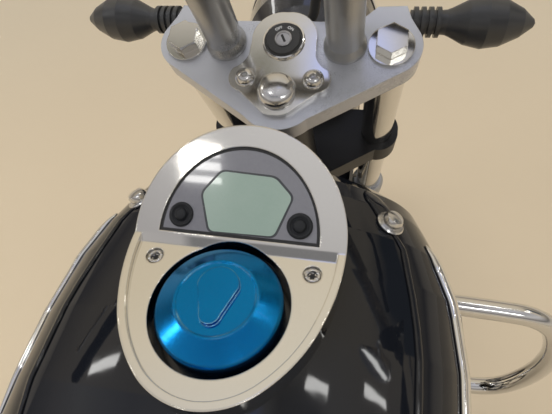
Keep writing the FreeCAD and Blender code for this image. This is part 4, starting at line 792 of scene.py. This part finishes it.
def lay_on_points(tree, given, piece, size=None):
    """Ends a tree: the piece on every point, its Z along the point's aim, made real and given its finish."""
    aim = add(tree, "GeometryNodeInputNamedAttribute", {"Name": "aim"}, data_type="FLOAT_VECTOR")
    turn = add(tree, "FunctionNodeAlignRotationToVector", {"Vector": aim}, axis="Z")
    laid = add(tree, "GeometryNodeInstanceOnPoints", {"Points": given["Geometry"], "Instance": piece,
                                                      "Rotation": turn})
    if size:
        tree.links.new(size.outputs[0], laid.inputs["Scale"])
    real = add(tree, "GeometryNodeRealizeInstances", {"Geometry": laid})
    add(tree, "NodeGroupOutput",
        {0: add(tree, "GeometryNodeSetMaterial", {"Geometry": real, "Material": given["Finish"]})})


def cylinder(tree, vertices, radius, depth, **settings):
    """An upright cylinder of a geometry tree."""
    return add(tree, "GeometryNodeMeshCylinder", {"Vertices": vertices, "Radius": radius, "Depth": depth},
               **settings)


def from_points(name, points, attributes, tree, inputs):
    """Runs a geometry tree over loose points with their attributes, and keeps the result as a plain mesh."""
    made = mesh_object(name, points, [])
    for key, values in attributes.items():
        kind, field = ("FLOAT", "value") if isinstance(values[0], float) else ("FLOAT_VECTOR", "vector")
        layer = made.data.attributes.new(key, kind, "POINT")
        layer.data.foreach_set(field, np.array([tuple(v) if field == "vector" else v for v in values],
                                               dtype=np.float32).ravel())
    repeat = made.modifiers.new("repeat", "NODES")
    repeat.node_group = tree
    for item in tree.interface.items_tree:
        if item.item_type == "SOCKET" and item.in_out == "INPUT" and item.name in inputs:
            repeat[item.identifier] = inputs[item.name]
    return plain_mesh(made, name)


# Short threads laid on points: each point's aim attribute is the way that its thread lies.
stitches, given = node_group("stitches", "GeometryNodeTree",
                             {"Geometry": "Geometry", "Length": 0.004, "Thickness": 0.0009,
                              "Finish": "Material"}, {"Geometry": "Geometry"})
lay_on_points(stitches, given, cylinder(stitches, 6, maths(stitches, "MULTIPLY", given["Thickness"], 0.5),
                                        given["Length"], fill_type="TRIANGLE_FAN"))
STITCH_PITCH, STITCH_INSET, SEAM_STEPS = 0.0062, 0.006, 180


def power(value, exponent):
    """A power that keeps the sign."""
    return math.copysign(abs(value) ** exponent, value)


for cad_name, swell, wide in (("rider_seat", 0.008, 0.76), ("passenger_seat", 0.007, 0.72)):
    low, high = (Vector(v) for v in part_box(cad_name))
    pad = padded_seat(f"{cad_name}_pad", cad_name, swell, low.z + (high.z - low.z) * 0.18, high.y - 0.004)
    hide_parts(cad_name)
    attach(pad, "chassis")
    skin = surface_finder(pad)

    def top_at(x, y):
        """The seat's top at this place, and its normal."""
        return skin.ray_cast(Vector((x, y, high.z + 0.05)), -Z)[:2]

    middle, reach = (low.y + high.y) / 2, (high.y - low.y) / 2
    path = []
    for k in range(SEAM_STEPS + 1):
        a = 2 * math.pi * k / SEAM_STEPS
        y = middle + reach * 0.80 * power(math.sin(a), 0.6)
        edge = next((high.x * step / 60 for step in range(60, 5, -1) if top_at(high.x * step / 60, y)[0]),
                    0.0)
        path.append(top_at(edge * wide * power(math.cos(a), 0.5), y))
    points, normals = zip(*(found for found in path if found[0]))
    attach(piped_seam(f"{cad_name}_piping", points, normals), "chassis")
    centre = sum(points, Vector()) / len(points)
    spots, ways, carry = [], [], 0.0
    for a, b in zip(points, points[1:]):
        span = (b - a).length
        while carry < span:
            here = a.lerp(b, carry / span)
            inward = Vector((centre.x - here.x, centre.y - here.y, 0)).normalized() * STITCH_INSET
            hit, normal = top_at(here.x + inward.x, here.y + inward.y)
            if hit:
                spots.append(hit + normal * 0.0002)
                ways.append((b - a).normalized())
            carry += STITCH_PITCH
        carry -= span
    sewn = from_points(f"{cad_name}_stitches", spots, {"aim": ways}, stitches,
                       {"Length": 0.0040, "Thickness": 0.0010, "Finish": thread})
    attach(sewn, "chassis")

# The tyres
# Moulded rubber over a round carcass, with slanted rain grooves and a centre line in the tread, and fine
# rings on the walls.
REAR_AXLE_BACK = 780.316


def on_bike(x, along, high):
    """A point in millimetres: across, ahead of the rear axle and above the floor."""
    return Vector((x, along - REAR_AXLE_BACK, high)) / 1000


def arc_through(a, b, c, steps):
    """Points on the arc from a through b to c."""
    (ax, ay), (bx, by), (cx, cy) = a, b, c
    d = 2 * (ax * (by - cy) + bx * (cy - ay) + cx * (ay - by))
    aa, bb, cc = (p * p + q * q for p, q in (a, b, c))
    ux = (aa * (by - cy) + bb * (cy - ay) + cc * (ay - by)) / d
    uy = (aa * (cx - bx) + bb * (ax - cx) + cc * (bx - ax)) / d
    r = math.hypot(ax - ux, ay - uy)
    first, mid, last = (math.atan2(q - uy, p - ux) for p, q in (a, b, c))
    sweep = sum((on - back + math.pi) % (2 * math.pi) - math.pi for back, on in ((first, mid), (mid, last)))
    return [(ux + r * math.cos(first + sweep * k / steps), uy + r * math.sin(first + sweep * k / steps))
            for k in range(steps + 1)]


SHOULDER_DROP, GROOVE_DEPTH, STEPS_A_PITCH = 0.52, 3.6, 14


def treaded_tyre(name, axle, radius, half_w, rim_r, pitches, material):
    """A tyre to its CAD section, its tread grooved at so many pitches round."""
    shoulder, inner, bead = radius - half_w * SHOULDER_DROP, rim_r + 0.2, half_w * 0.62
    wall_side = arc_through((half_w, shoulder), (half_w * 0.99, (inner + shoulder) / 2), (bead, inner), 8)[1:]
    crown = arc_through((-half_w, shoulder), (0, radius), (half_w, shoulder), 34)
    section = [(-x, r) for x, r in reversed(wall_side)] + crown + wall_side
    rings = []
    for k in range(pitches * STEPS_A_PITCH):
        a = 2 * math.pi * k / (pitches * STEPS_A_PITCH)
        ring = []
        for x, r in section:
            across = abs(x) / half_w
            lag = (k / STEPS_A_PITCH + 0.9 * across ** 1.4 + (0.5 if x > 0 else 0.0)) % 1.0
            slant = lag < 0.15 and 0.16 < across < 0.86
            centre_line = abs(x) < half_w * 0.05
            tie = 0.30 < across < 0.36 and 0.15 < lag < 0.62
            deep = GROOVE_DEPTH if (slant or centre_line or tie) and r > shoulder + 1 else 0.0
            edge = 1 - deep / max(r, 1)
            ring.append(axle + Vector((x * edge, r * edge * math.cos(a), r * edge * math.sin(a))) / 1000)
        rings.append(ring)
    return loft(name, rings, material, 40, joined=True)


def about_axle(material, axle):
    """The distance from an axle that lies across the machine, as a shader value."""
    tree = material.node_tree
    off = add(tree, "ShaderNodeVectorMath", {0: object_place(tree), 1: axle}, operation="SUBTRACT")
    flat = add(tree, "ShaderNodeVectorMath", {0: off, 1: (0, 1, 1)}, operation="MULTIPLY")
    return add(tree, "ShaderNodeVectorMath", {0: flat}, operation="LENGTH").outputs["Value"]


def ridges(tree, value, pitch):
    """Even waves along a measure, one in every pitch."""
    return maths(tree, "SINE", maths(tree, "MULTIPLY", value, 2 * math.pi / pitch))


FRONT_AXLE, REAR_AXLE = on_bike(0, 1620, 315), on_bike(0, 0, 336)
for name, axle, radius, half_w, rim_r, pitches, body in (
        ("front_tyre_tread", FRONT_AXLE, 315.0, 60.0, 236.0, 38, "front_wheel"),
        ("rear_tyre_tread", REAR_AXLE, 318.0, 82.0, 212.0, 34, "rear_wheel")):
    rubber = finish(name + "_rubber", 0.020, (0.036, 0.035, 0.033), (0.62, 0.82), 6.0, 500.0, 0.3)
    tree = rubber.node_tree
    out_to = about_axle(rubber, axle)
    low, high = rim_r / 1000, (radius - half_w * SHOULDER_DROP) / 1000
    on_wall = maths(tree, "MAXIMUM", band(tree, out_to, low + 0.008, low + 0.018, 0.0008),
                    band(tree, out_to, high - 0.016, high - 0.003, 0.0008))
    emboss(rubber, maths(tree, "MULTIPLY", ridges(tree, out_to, 0.0028), on_wall), 0.7, 0.0006)
    dust = band(tree, out_to, radius / 1000 - 0.0015, radius / 1000 + 0.01, 0.0012)
    mix_in(rubber, maths(tree, "MULTIPLY", dust, 0.5), colour=(0.075, 0.070, 0.062), rough=0.9)
    tread = treaded_tyre(name, axle, radius, half_w, rim_r, pitches, rubber)
    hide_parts(body.replace("wheel", "tyre"))
    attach(tread, body)

# The wheels and the front disc
# One-piece castings in silver paint, their rim lips turned bright, each with a valve. Bolts stand round the
# disc's carrier.
for name, axle, lip in (("front_wheel_casting", FRONT_AXLE, 0.225), ("rear_wheel_casting", REAR_AXLE, 0.201)):
    silver = finish(name + "_silver", (0.36, 0.37, 0.385), (0.44, 0.45, 0.46), (0.26, 0.38), 9.0, 1300.0,
                    0.15, 0.85, 0.5, 0.1, edge=(0.62, 0.62, 0.63), radius=0.0012)
    lip_mask = band(silver.node_tree, about_axle(silver, axle), lip, 0.30, 0.0008)
    mix_in(silver, lip_mask, colour=(0.72, 0.72, 0.73), rough=0.14, metal=1.0)
    dress(name, silver)
carrier = band(brake_steel.node_tree, about_axle(brake_steel, FRONT_AXLE), 0.0, 0.101, 0.0005)
mix_in(brake_steel, carrier, colour=(0.02, 0.02, 0.021), rough=0.35, metal=0.2)

# Hexagon bolts on washers, one on each point: aim is the way that the head faces, size is half its width.
hex_bolts, given = node_group("hex_bolts", "GeometryNodeTree",
                              {"Geometry": "Geometry", "Head Height": 0.75, "Washer": 1.35,
                               "Finish": "Material"}, {"Geometry": "Geometry"})
head_lift = add(hex_bolts, "ShaderNodeCombineXYZ",
                {"Z": maths(hex_bolts, "MULTIPLY", given["Head Height"], 0.5)})
head = add(hex_bolts, "GeometryNodeTransform",
           {"Geometry": cylinder(hex_bolts, 6, 1.0, given["Head Height"]), "Translation": head_lift})
dome = add(hex_bolts, "GeometryNodeTransform",
           {"Geometry": cylinder(hex_bolts, 12, 0.72, 0.9), "Translation": (0, 0, 0.42)})
whole = add(hex_bolts, "GeometryNodeJoinGeometry")
for part in (dome, head, cylinder(hex_bolts, 20, given["Washer"], 0.22)):
    hex_bolts.links.new(part.outputs[0], whole.inputs[0])
half_width = add(hex_bolts, "GeometryNodeInputNamedAttribute", {"Name": "size"}, data_type="FLOAT")
lay_on_points(hex_bolts, given, whole, half_width)
bolt_steel = finish("bolt_steel", (0.55, 0.55, 0.56), 0.66, (0.16, 0.30), 70.0, 1100.0, metal=1.0,
                    radius=0.0006)


def bolts(name, spots, body):
    """Bolts at a table of (point, way that the head faces, half width in millimetres)."""
    points, ways, sizes = zip(*spots)
    made = from_points(name, points, {"aim": ways, "size": [size / 1000 for size in sizes]}, hex_bolts,
                       {"Finish": bolt_steel, "Washer": 1.35})
    face_out(made)
    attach(made, body)


def ring_of(x, along, high, r, count, start, way, size, skip=None):
    """A ring of bolts on a face that looks across the machine, but for those in a skipped circle."""
    out = []
    for k in range(count):
        a = math.radians(start + 360 * k / count)
        y, z = along + r * math.cos(a), high + r * math.sin(a)
        if not skip or math.hypot(y - skip[0], z - skip[1]) >= skip[2]:
            out.append((on_bike(x, y, z), (way, 0, 0), size))
    return out


bolts("front_disc_bolts", ring_of(-70.1, 1620, 315, 46, 6, 0, -1, 5.5), "front_wheel")
for name, axle, r, body in (("front_valve", FRONT_AXLE, 0.210, "front_wheel"),
                            ("rear_valve", REAR_AXLE, 0.186, "rear_wheel")):
    stem = lathe(name, [(0.0, -8.0), (4.2, -8.0), (4.2, -5.0), (2.6, -3.5), (2.6, 14.0), (3.4, 14.6),
                        (3.4, 21.5), (2.8, 22.4), (0.0, 22.4)],
                 face_at(axle + Vector((0.018, 0, r)), X, Y, -Z),
                 finish(name + "_rubber", 0.02, 0.04, (0.45, 0.6), 90.0, 900.0), 20)
    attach(stem, body)

# The headlamp
# A black pressed shell with a chromed rim, a bright bowl with a shielded bulb, and a fluted glass.
dress("headlamp_shell", finish("lamp_shell_black", (0.008, 0.008, 0.010), (0.014, 0.014, 0.016), (0.16, 0.26),
                               7.0, 1300.0, coat=1.0, coat_rough=0.02, radius=0.0010))
in_lamp = face_at(STEM + Vector((0, 0.232, -0.050)), X, Z, Y)


def place_xyz(material):
    """The three measures of a point's place in the machine's frame."""
    return add(material.node_tree, "ShaderNodeSeparateXYZ", {0: object_place(material.node_tree)}).outputs


bowl_chrome = finish("reflector_bowl", (0.82, 0.82, 0.83), 0.88, (0.05, 0.10), 20.0, 500.0, metal=1.0)
lamp_glass = bpy.data.materials.new("fluted_glass")
lamp_glass.use_nodes = True
tree, into = lamp_glass.node_tree, shader_of(lamp_glass).inputs
into["Transmission Weight"].default_value = 1.0
into["IOR"].default_value = 1.46
emboss(lamp_glass, maths(tree, "ABSOLUTE", ridges(tree, place_xyz(lamp_glass)["X"], 0.017)), 0.7, 0.0012)
haze = add(tree, "ShaderNodeTexNoise", {"Scale": 60.0})
tree.links.new(mixed(tree, haze, tone((0.94, 0.96, 0.96)), tone(0.98)), into["Base Color"])
bulb_glass = finish("bulb_glass", (0.75, 0.74, 0.70), (0.82, 0.81, 0.78), (0.08, 0.16), 60.0, 700.0, 0.0, 0.1,
                    1.0)
rim_chrome = finish("lamp_rim_chrome", 0.80, 0.85, (0.05, 0.11), 12.0, 500.0, metal=1.0)
for name, material, turns, smooth, profile in (
        ("headlamp_glass", lamp_glass, 96, 60,
         [(0.0, 39.3), (16, 39.0), (31, 37.7), (46, 35.6), (61, 32.6), (72, 29.2), (80.3, 26.0), (80.3, 23.0),
          (71, 26.2), (60, 29.6), (45, 32.6), (30, 34.7), (16, 36.0), (0.0, 36.3)]),
        ("headlamp_bowl", bowl_chrome, 72, 45,
         [(80.2, 22.0), (80.2, 12.0), (76, 4.0), (68, -2.0), (56, -7.0), (40, -10.0), (24, -11.4),
          (0.0, -11.4), (0.0, -10.6), (14, -10.2), (14, -8.6), (24, -8.4), (40, -6.8), (55, -3.6),
          (66, 1.6), (73, 7.0), (77.5, 13.5), (79.0, 22.0), (80.2, 22.0)]),
        ("bulb_shield", bowl_chrome, 40, 32,
         [(0.0, 26.0), (9, 25.2), (13.5, 22.0), (14.2, 14.0), (13.2, 14.0), (12.4, 21.0), (8.4, 24.0),
          (0.0, 24.8)]),
        ("bulb_holder", bulb_glass, 32, 32,
         [(0.0, 18.0), (4.5, 17.0), (6.6, 12.0), (7.0, -9.0), (12.5, -9.0), (12.5, -10.4), (0.0, -10.4)]),
        ("headlamp_rim", rim_chrome, 96, 45,
         [(91.3, 17.0), (92.6, 18.5), (92.9, 23.0), (91.8, 28.5), (88.0, 32.2), (83.0, 33.2), (80.7, 31.0),
          (80.7, 27.0), (84.0, 30.4), (88.0, 29.0), (91.2, 26.4), (91.3, 17.0)])):
    piece = lathe(name, profile, in_lamp, material, turns, smooth)
    if name in ("headlamp_glass", "headlamp_bowl"):
        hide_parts("headlamp_lens")
    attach(piece, "steering")
strip = [Vector(corner) for corner in ((-1.5, 13.4), (1.5, 13.4), (1.5, 76.0), (-1.5, 76.0))]
for name, way in (("shield_stay_upper", 1), ("shield_stay_lower", -1)):
    stay = flat_plate(name, strip, face_at(in_lamp(0, 0, 0), X * -way, Z * way, Y), 15.2, 16.2, bowl_chrome)
    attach(stay, "steering")


# The turn signals
# Black moulded pods on ribbed rubber stalks, with amber lenses facing ahead in front and behind at the rear.
def signal_finish(name, along, reach, way, red_half=None):
    """Black plastic with a lens where the pod's face lies past the split line; a red lamp near the middle."""
    made = finish(name, (0.017, 0.018, 0.020), (0.030, 0.031, 0.033), (0.32, 0.46), 30.0, 1800.0, 0.2, 0.0,
                  0.3, 0.15)
    tree = made.node_tree
    place = place_xyz(made)
    out = maths(tree, "ABSOLUTE", place["X"])
    past = maths(tree, "MULTIPLY", maths(tree, "SUBTRACT", place["Y"], along), way)
    face = maths(tree, "MULTIPLY", maths(tree, "GREATER_THAN", past, 0.009),
                 band(tree, out, reach + 0.038, reach + 0.110, 0.0003))
    mix_in(made, face, colour=(0.72, 0.17, 0.008), rough=0.12)
    if red_half:
        red = maths(tree, "LESS_THAN", out, red_half)
        mix_in(made, red, colour=(0.42, 0.008, 0.006), rough=0.12)
        face = maths(tree, "MAXIMUM", face, red)
    emboss(made, maths(tree, "MULTIPLY", ridges(tree, place["Z"], 0.004), face), 0.6, 0.0008)
    return made


dress("front_signals", signal_finish("front_signal_plastic", on_yoke(116, 90, -13).y, 0.118, 1.0))
dress("rear_lamps", signal_finish("rear_lamp_plastic", on_bike(0, -210, 0).y,
                                  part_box("rear_lamps")[1][0] - 0.113, -1.0, 0.0560))

# The engine and its covers
# Cast crankcase and two finned cylinders in satin black with machined fin edges, under chromed covers on
# rings of bolts, and a round chromed air cleaner on the right.
dress("engine_case", finish("crankcase_cast", (0.30, 0.305, 0.315), (0.38, 0.385, 0.39), (0.36, 0.52), 16.0,
                            800.0, 0.5, 0.85, edge=0.60, radius=0.0012))
dress("engine_cylinders", finish("cylinder_black", (0.022, 0.022, 0.023), 0.034, (0.38, 0.52), 20.0, 900.0,
                                 0.4, 0.2, edge=0.46, radius=0.0011))
cover_chrome = finish("cover_chrome", 0.74, 0.80, (0.06, 0.13), 9.0, 600.0, metal=1.0, radius=0.0022)
dress("engine_covers", cover_chrome)
ALTERNATOR, STARTER, CLUTCH, AIR_CLEANER = (880, 390), (750, 380), (870, 390), (860, 607)
bolts("engine_cover_bolts",
      ring_of(-126.2, *ALTERNATOR, 88, 9, 20, -1, 5.0)
      + ring_of(-120.2, *STARTER, 53, 7, 25, -1, 5.0, skip=(*ALTERNATOR, 106))
      + ring_of(122.2, *CLUTCH, 74, 8, 10, 1, 5.0)
      + [(on_bike(148.2, *AIR_CLEANER), (1, 0, 0), 7.0)], "chassis")
for name, x, place, way, profile in (
        ("alternator_cap", -126.1, ALTERNATOR, -1,
         [(0, 0.0), (66, 0.0), (66, 2.0), (62, 5.0), (48, 8.0), (24, 9.4), (0, 9.8)]),
        ("starter_cap", -120.1, STARTER, -1,
         [(0, 0.0), (34, 0.0), (33, 3.0), (27, 5.5), (12, 6.8), (0, 7.0)]),
        ("clutch_cap", 122.1, CLUTCH, 1,
         [(0, 0.0), (54, 0.0), (53, 2.5), (47, 4.0), (42, 2.6), (38, 2.6), (30, 5.4), (14, 6.6), (0, 6.8)]),
        ("air_cleaner_ring", 140.2, AIR_CLEANER, 1,
         [(77.0, -4.0), (79.5, -3.0), (80, 0.5), (77, 3.2), (71, 4.6), (66, 4.4), (66, 1.8), (72, 0.4),
          (77.0, -4.0)])):
    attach(lathe(name, profile, face_at(on_bike(x, *place), Y, Z, X * way), cover_chrome, 72), "chassis")
HEAD_HEIGHT = 282.2
lid_bolts = []
for lean in (-36.0, 36.0):
    a = math.radians(lean)
    for x in (-48, 48):
        for y in (-42, 42):
            spot = on_bike(x, 860 + y * math.cos(a) - HEAD_HEIGHT * math.sin(a),
                           395 + y * math.sin(a) + HEAD_HEIGHT * math.cos(a))
            lid_bolts.append((spot, (0, -math.sin(a), math.cos(a)), 5.5))
bolts("head_lid_bolts", lid_bolts, "chassis")

# The exhaust
# Chromed steel headers and two long mufflers, straw and blue with heat for a hand's width from the ports.
pipe_chrome = finish("exhaust_chrome", 0.72, 0.78, (0.08, 0.16), 7.0, 700.0, metal=1.0, radius=0.0010)
tree = pipe_chrome.node_tree
from_ports = [add(tree, "ShaderNodeVectorMath", {0: object_place(tree), 1: on_bike(40, along, 552)},
                  operation="DISTANCE").outputs["Value"] for along in (1039, 681)]
near = maths(tree, "MINIMUM", *from_ports)
for low, high, soft, heat in ((0.085, 0.150, 0.030, (0.52, 0.36, 0.13)),
                              (0.0, 0.080, 0.028, (0.16, 0.17, 0.34))):
    mix_in(pipe_chrome, maths(tree, "MULTIPLY", band(tree, near, low, high, soft), 0.75), colour=heat)
dress("exhaust", pipe_chrome)
# Each outlet's bore is a dark disc: partly soot and partly painted shade, where the inside of the pipe lies
# in shadow.
outlet_soot_and_shade = finish("outlet_soot_and_shade", 0.010, (0.028, 0.026, 0.024), (0.6, 0.85), 90.0, 900.0, 0.4)
blow = Vector((0, -0.99875, 0.04994))
for which, end in (("lower", (222, 0.75, 291.96)), ("upper", (222, -19.3, 380.97))):
    at_outlet = face_at(on_bike(*end), X, blow.cross(X), blow)
    rolled = lathe(f"outlet_{which}_rim", [(22.0, -0.6), (22.0, 1.2), (20.6, 2.4), (18.8, 2.2), (17.6, 0.8),
                                           (17.6, -0.6), (22.0, -0.6)], at_outlet, pipe_chrome, 56)
    hole = lathe(f"outlet_{which}_bore", [(0.0, -0.4), (17.5, -0.4), (17.5, 0.4), (15.0, 0.2), (0.0, 0.15)],
                 at_outlet, outlet_soot_and_shade)
    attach(rolled, "chassis")
    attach(hole, "chassis")

# The guard, the pegs and the pedals
# Chromed tube loops on the frame's down tubes, rubber-sleeved pegs and forged pedals with bright pads.
guard_chrome = finish("guard_chrome", 0.70, 0.76, (0.06, 0.14), 9.0, 600.0, metal=1.0)
GUARD_RADIUS = 0.014
for side, hand in SIDES:
    line = bpy.data.curves.new(f"guard_loop_{hand}", "CURVE")
    line.dimensions = "3D"
    line.bevel_depth = GUARD_RADIUS
    line.bevel_resolution = 8
    line.use_fill_caps = True
    route = ((46, 1190, 604), (80, 1192, 605), (170, 1192, 605), (262, 1192, 605), (352, 1192, 600),
             (391, 1192, 520), (391, 1192, 430), (352, 1192, 350), (262, 1192, 345), (170, 1192, 345),
             (120, 1186, 345), (97, 1157, 345))
    run = line.splines.new("NURBS")
    run.points.add(len(route) - 1)
    for spot, (x, y, z) in zip(run.points, route):
        spot.co = (*on_bike(side * x, y, z), 1.0)
    run.order_u = 3
    run.use_endpoint_u = True
    run.resolution_u = 12
    loop = of_curve(line.name, line, guard_chrome)
    loop.data.shade_smooth()
    face_out(loop)
    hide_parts("engine_guard")
    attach(loop, "chassis")
peg_rubber = finish("peg_rubber", 0.018, 0.032, (0.5, 0.7), 24.0, 900.0, 0.3)
tree, place = peg_rubber.node_tree, place_xyz(peg_rubber)
out = maths(tree, "ABSOLUTE", place["X"])
emboss(peg_rubber, ridges(tree, out, 0.0075), 0.8, 0.0016)
pedal = maths(tree, "GREATER_THAN", place["Y"], on_bike(0, 1008, 0).y)
pad_side = maths(tree, "MULTIPLY", pedal, maths(tree, "GREATER_THAN", on_bike(0, 0, 367).z, place["Z"]))
for bare in (pad_side, maths(tree, "LESS_THAN", out, 0.150)):
    mix_in(peg_rubber, bare, colour=(0.55, 0.55, 0.55), rough=0.2, metal=1.0)
dress("foot_controls", peg_rubber)

# The rear end
# Chromed struts carry the mudguard, the lamps and a blank white plate; chromed dampers stand each side.
dress("fender_struts", finish("strut_chrome", 0.70, 0.76, (0.08, 0.16), 9.0, 600.0, metal=1.0, radius=0.0012))
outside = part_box("fender_struts")[1][0] + 0.0001
strut_skin = surface_finder(node["fender_struts"])
strut_spots = []
for side, _ in SIDES:
    for y, z in ((160, 656), (40, 659), (-60, 646), (-150, 620)):
        hit, normal, _, _ = strut_skin.ray_cast(on_bike(side * outside * 1600, y, z), X * -side)
        strut_spots.append((hit, normal, 6.0))
bolts("strut_bolts", strut_spots, "chassis")
plate_white = finish("plate_white", (0.60, 0.60, 0.59), (0.64, 0.64, 0.63), (0.30, 0.42), 12.0, 900.0, 0.05,
                     0.0, 0.3, 0.1, radius=0.0006)
arm = maths(plate_white.node_tree, "GREATER_THAN", place_xyz(plate_white)["Y"], on_bike(0, -398.9, 0).y)
mix_in(plate_white, arm, colour=(0.014, 0.014, 0.014), rough=0.4)
dress("plate_bracket", plate_white)
_, back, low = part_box("plate_bracket")[0]
on_plate = face_at(Vector((0, back + 0.00002, low)), X, Z, -Y)
outer_rim = rounded_corners([(-91, 3), (91, 3), (91, 109), (-91, 109)], 6.0)
inner_rim = rounded_corners([(-88.6, 5.4), (88.6, 5.4), (88.6, 106.6), (-88.6, 106.6)], 5.0)
border = flat_frame("plate_border", ((outer_rim, 0.0), (outer_rim, 0.1), (inner_rim, 0.1), (inner_rim, 0.0)),
                    on_plate, finish("plate_edge_black", 0.015, 0.025, (0.35, 0.5), 60.0, 900.0))
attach(border, "chassis")

# The dampers
# A chromed cover over the top of a bright coil spring on its rod, with eyes on the pins of the frame and the
# swingarm.
shock_chrome = finish("damper_chrome", 0.72, 0.78, (0.07, 0.14), 9.0, 600.0, metal=1.0, radius=0.0010)
damper_black = finish("damper_black", (0.012, 0.012, 0.013), 0.020, (0.24, 0.36), 20.0, 900.0, 0.1, 0.0, 0.6,
                      0.1, radius=0.0008)
COIL_RADIUS, WIRE_RADIUS, COIL_PITCH, COIL_STEPS, WIRE_STEPS = 20.8, 3.6, 12.4, 28, 8
for side, hand in SIDES:
    foot, top = Vector((side * 147, 46, 350)), Vector((side * 147, 146, 646))
    way, span = (top - foot).normalized(), (top - foot).length
    on_damper = face_at(on_bike(*foot), X, way.cross(X).normalized(), way)
    body = lathe(f"damper_body_{hand}", [(0, 14), (12, 14), (15, 17), (15, 30), (18, 34), (25, 35), (25, 39),
                                         (17, 41), (13.5, 44), (13.5, span - 80), (0, span - 80)], on_damper,
                 damper_black, 40)
    cover = lathe(f"damper_cover_{hand}", [(0, span - 84), (27, span - 84), (28.8, span - 82),
                                           (29, span - 78), (29, span - 26), (27.5, span - 21),
                                           (20, span - 17), (15, span - 14), (0, span - 13.8)], on_damper,
                  shock_chrome, 56)
    join(cover, [lathe(f"damper_eye_{hand}", [(9.4, -8), (15.2, -8), (16, -7.2), (16, 7.2), (15.2, 8),
                                              (9.4, 8), (9.4, -8)], face_at(on_damper(0, 0, end), Y, Z, X),
                       shock_chrome, 40) for end in (0.0, span)])
    coil = []
    steps = int((span - 84 - 41) / COIL_PITCH) * COIL_STEPS
    for k in range(steps + 1):
        a, rise = 2 * math.pi * k / COIL_STEPS, 42.8 + (span - 84 - 45.5) * k / steps
        coil.append([])
        for r in range(WIRE_STEPS):
            b = 2 * math.pi * r / WIRE_STEPS
            out = COIL_RADIUS + WIRE_RADIUS * math.cos(b)
            coil[-1].append(on_damper(out * math.cos(a), out * math.sin(a), rise + WIRE_RADIUS * math.sin(b)))
    spring = loft(f"damper_spring_{hand}", coil, shock_chrome, 60, caps=True)
    for piece in (body, cover, spring):
        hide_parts("rear_shocks")
        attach(piece, "chassis")
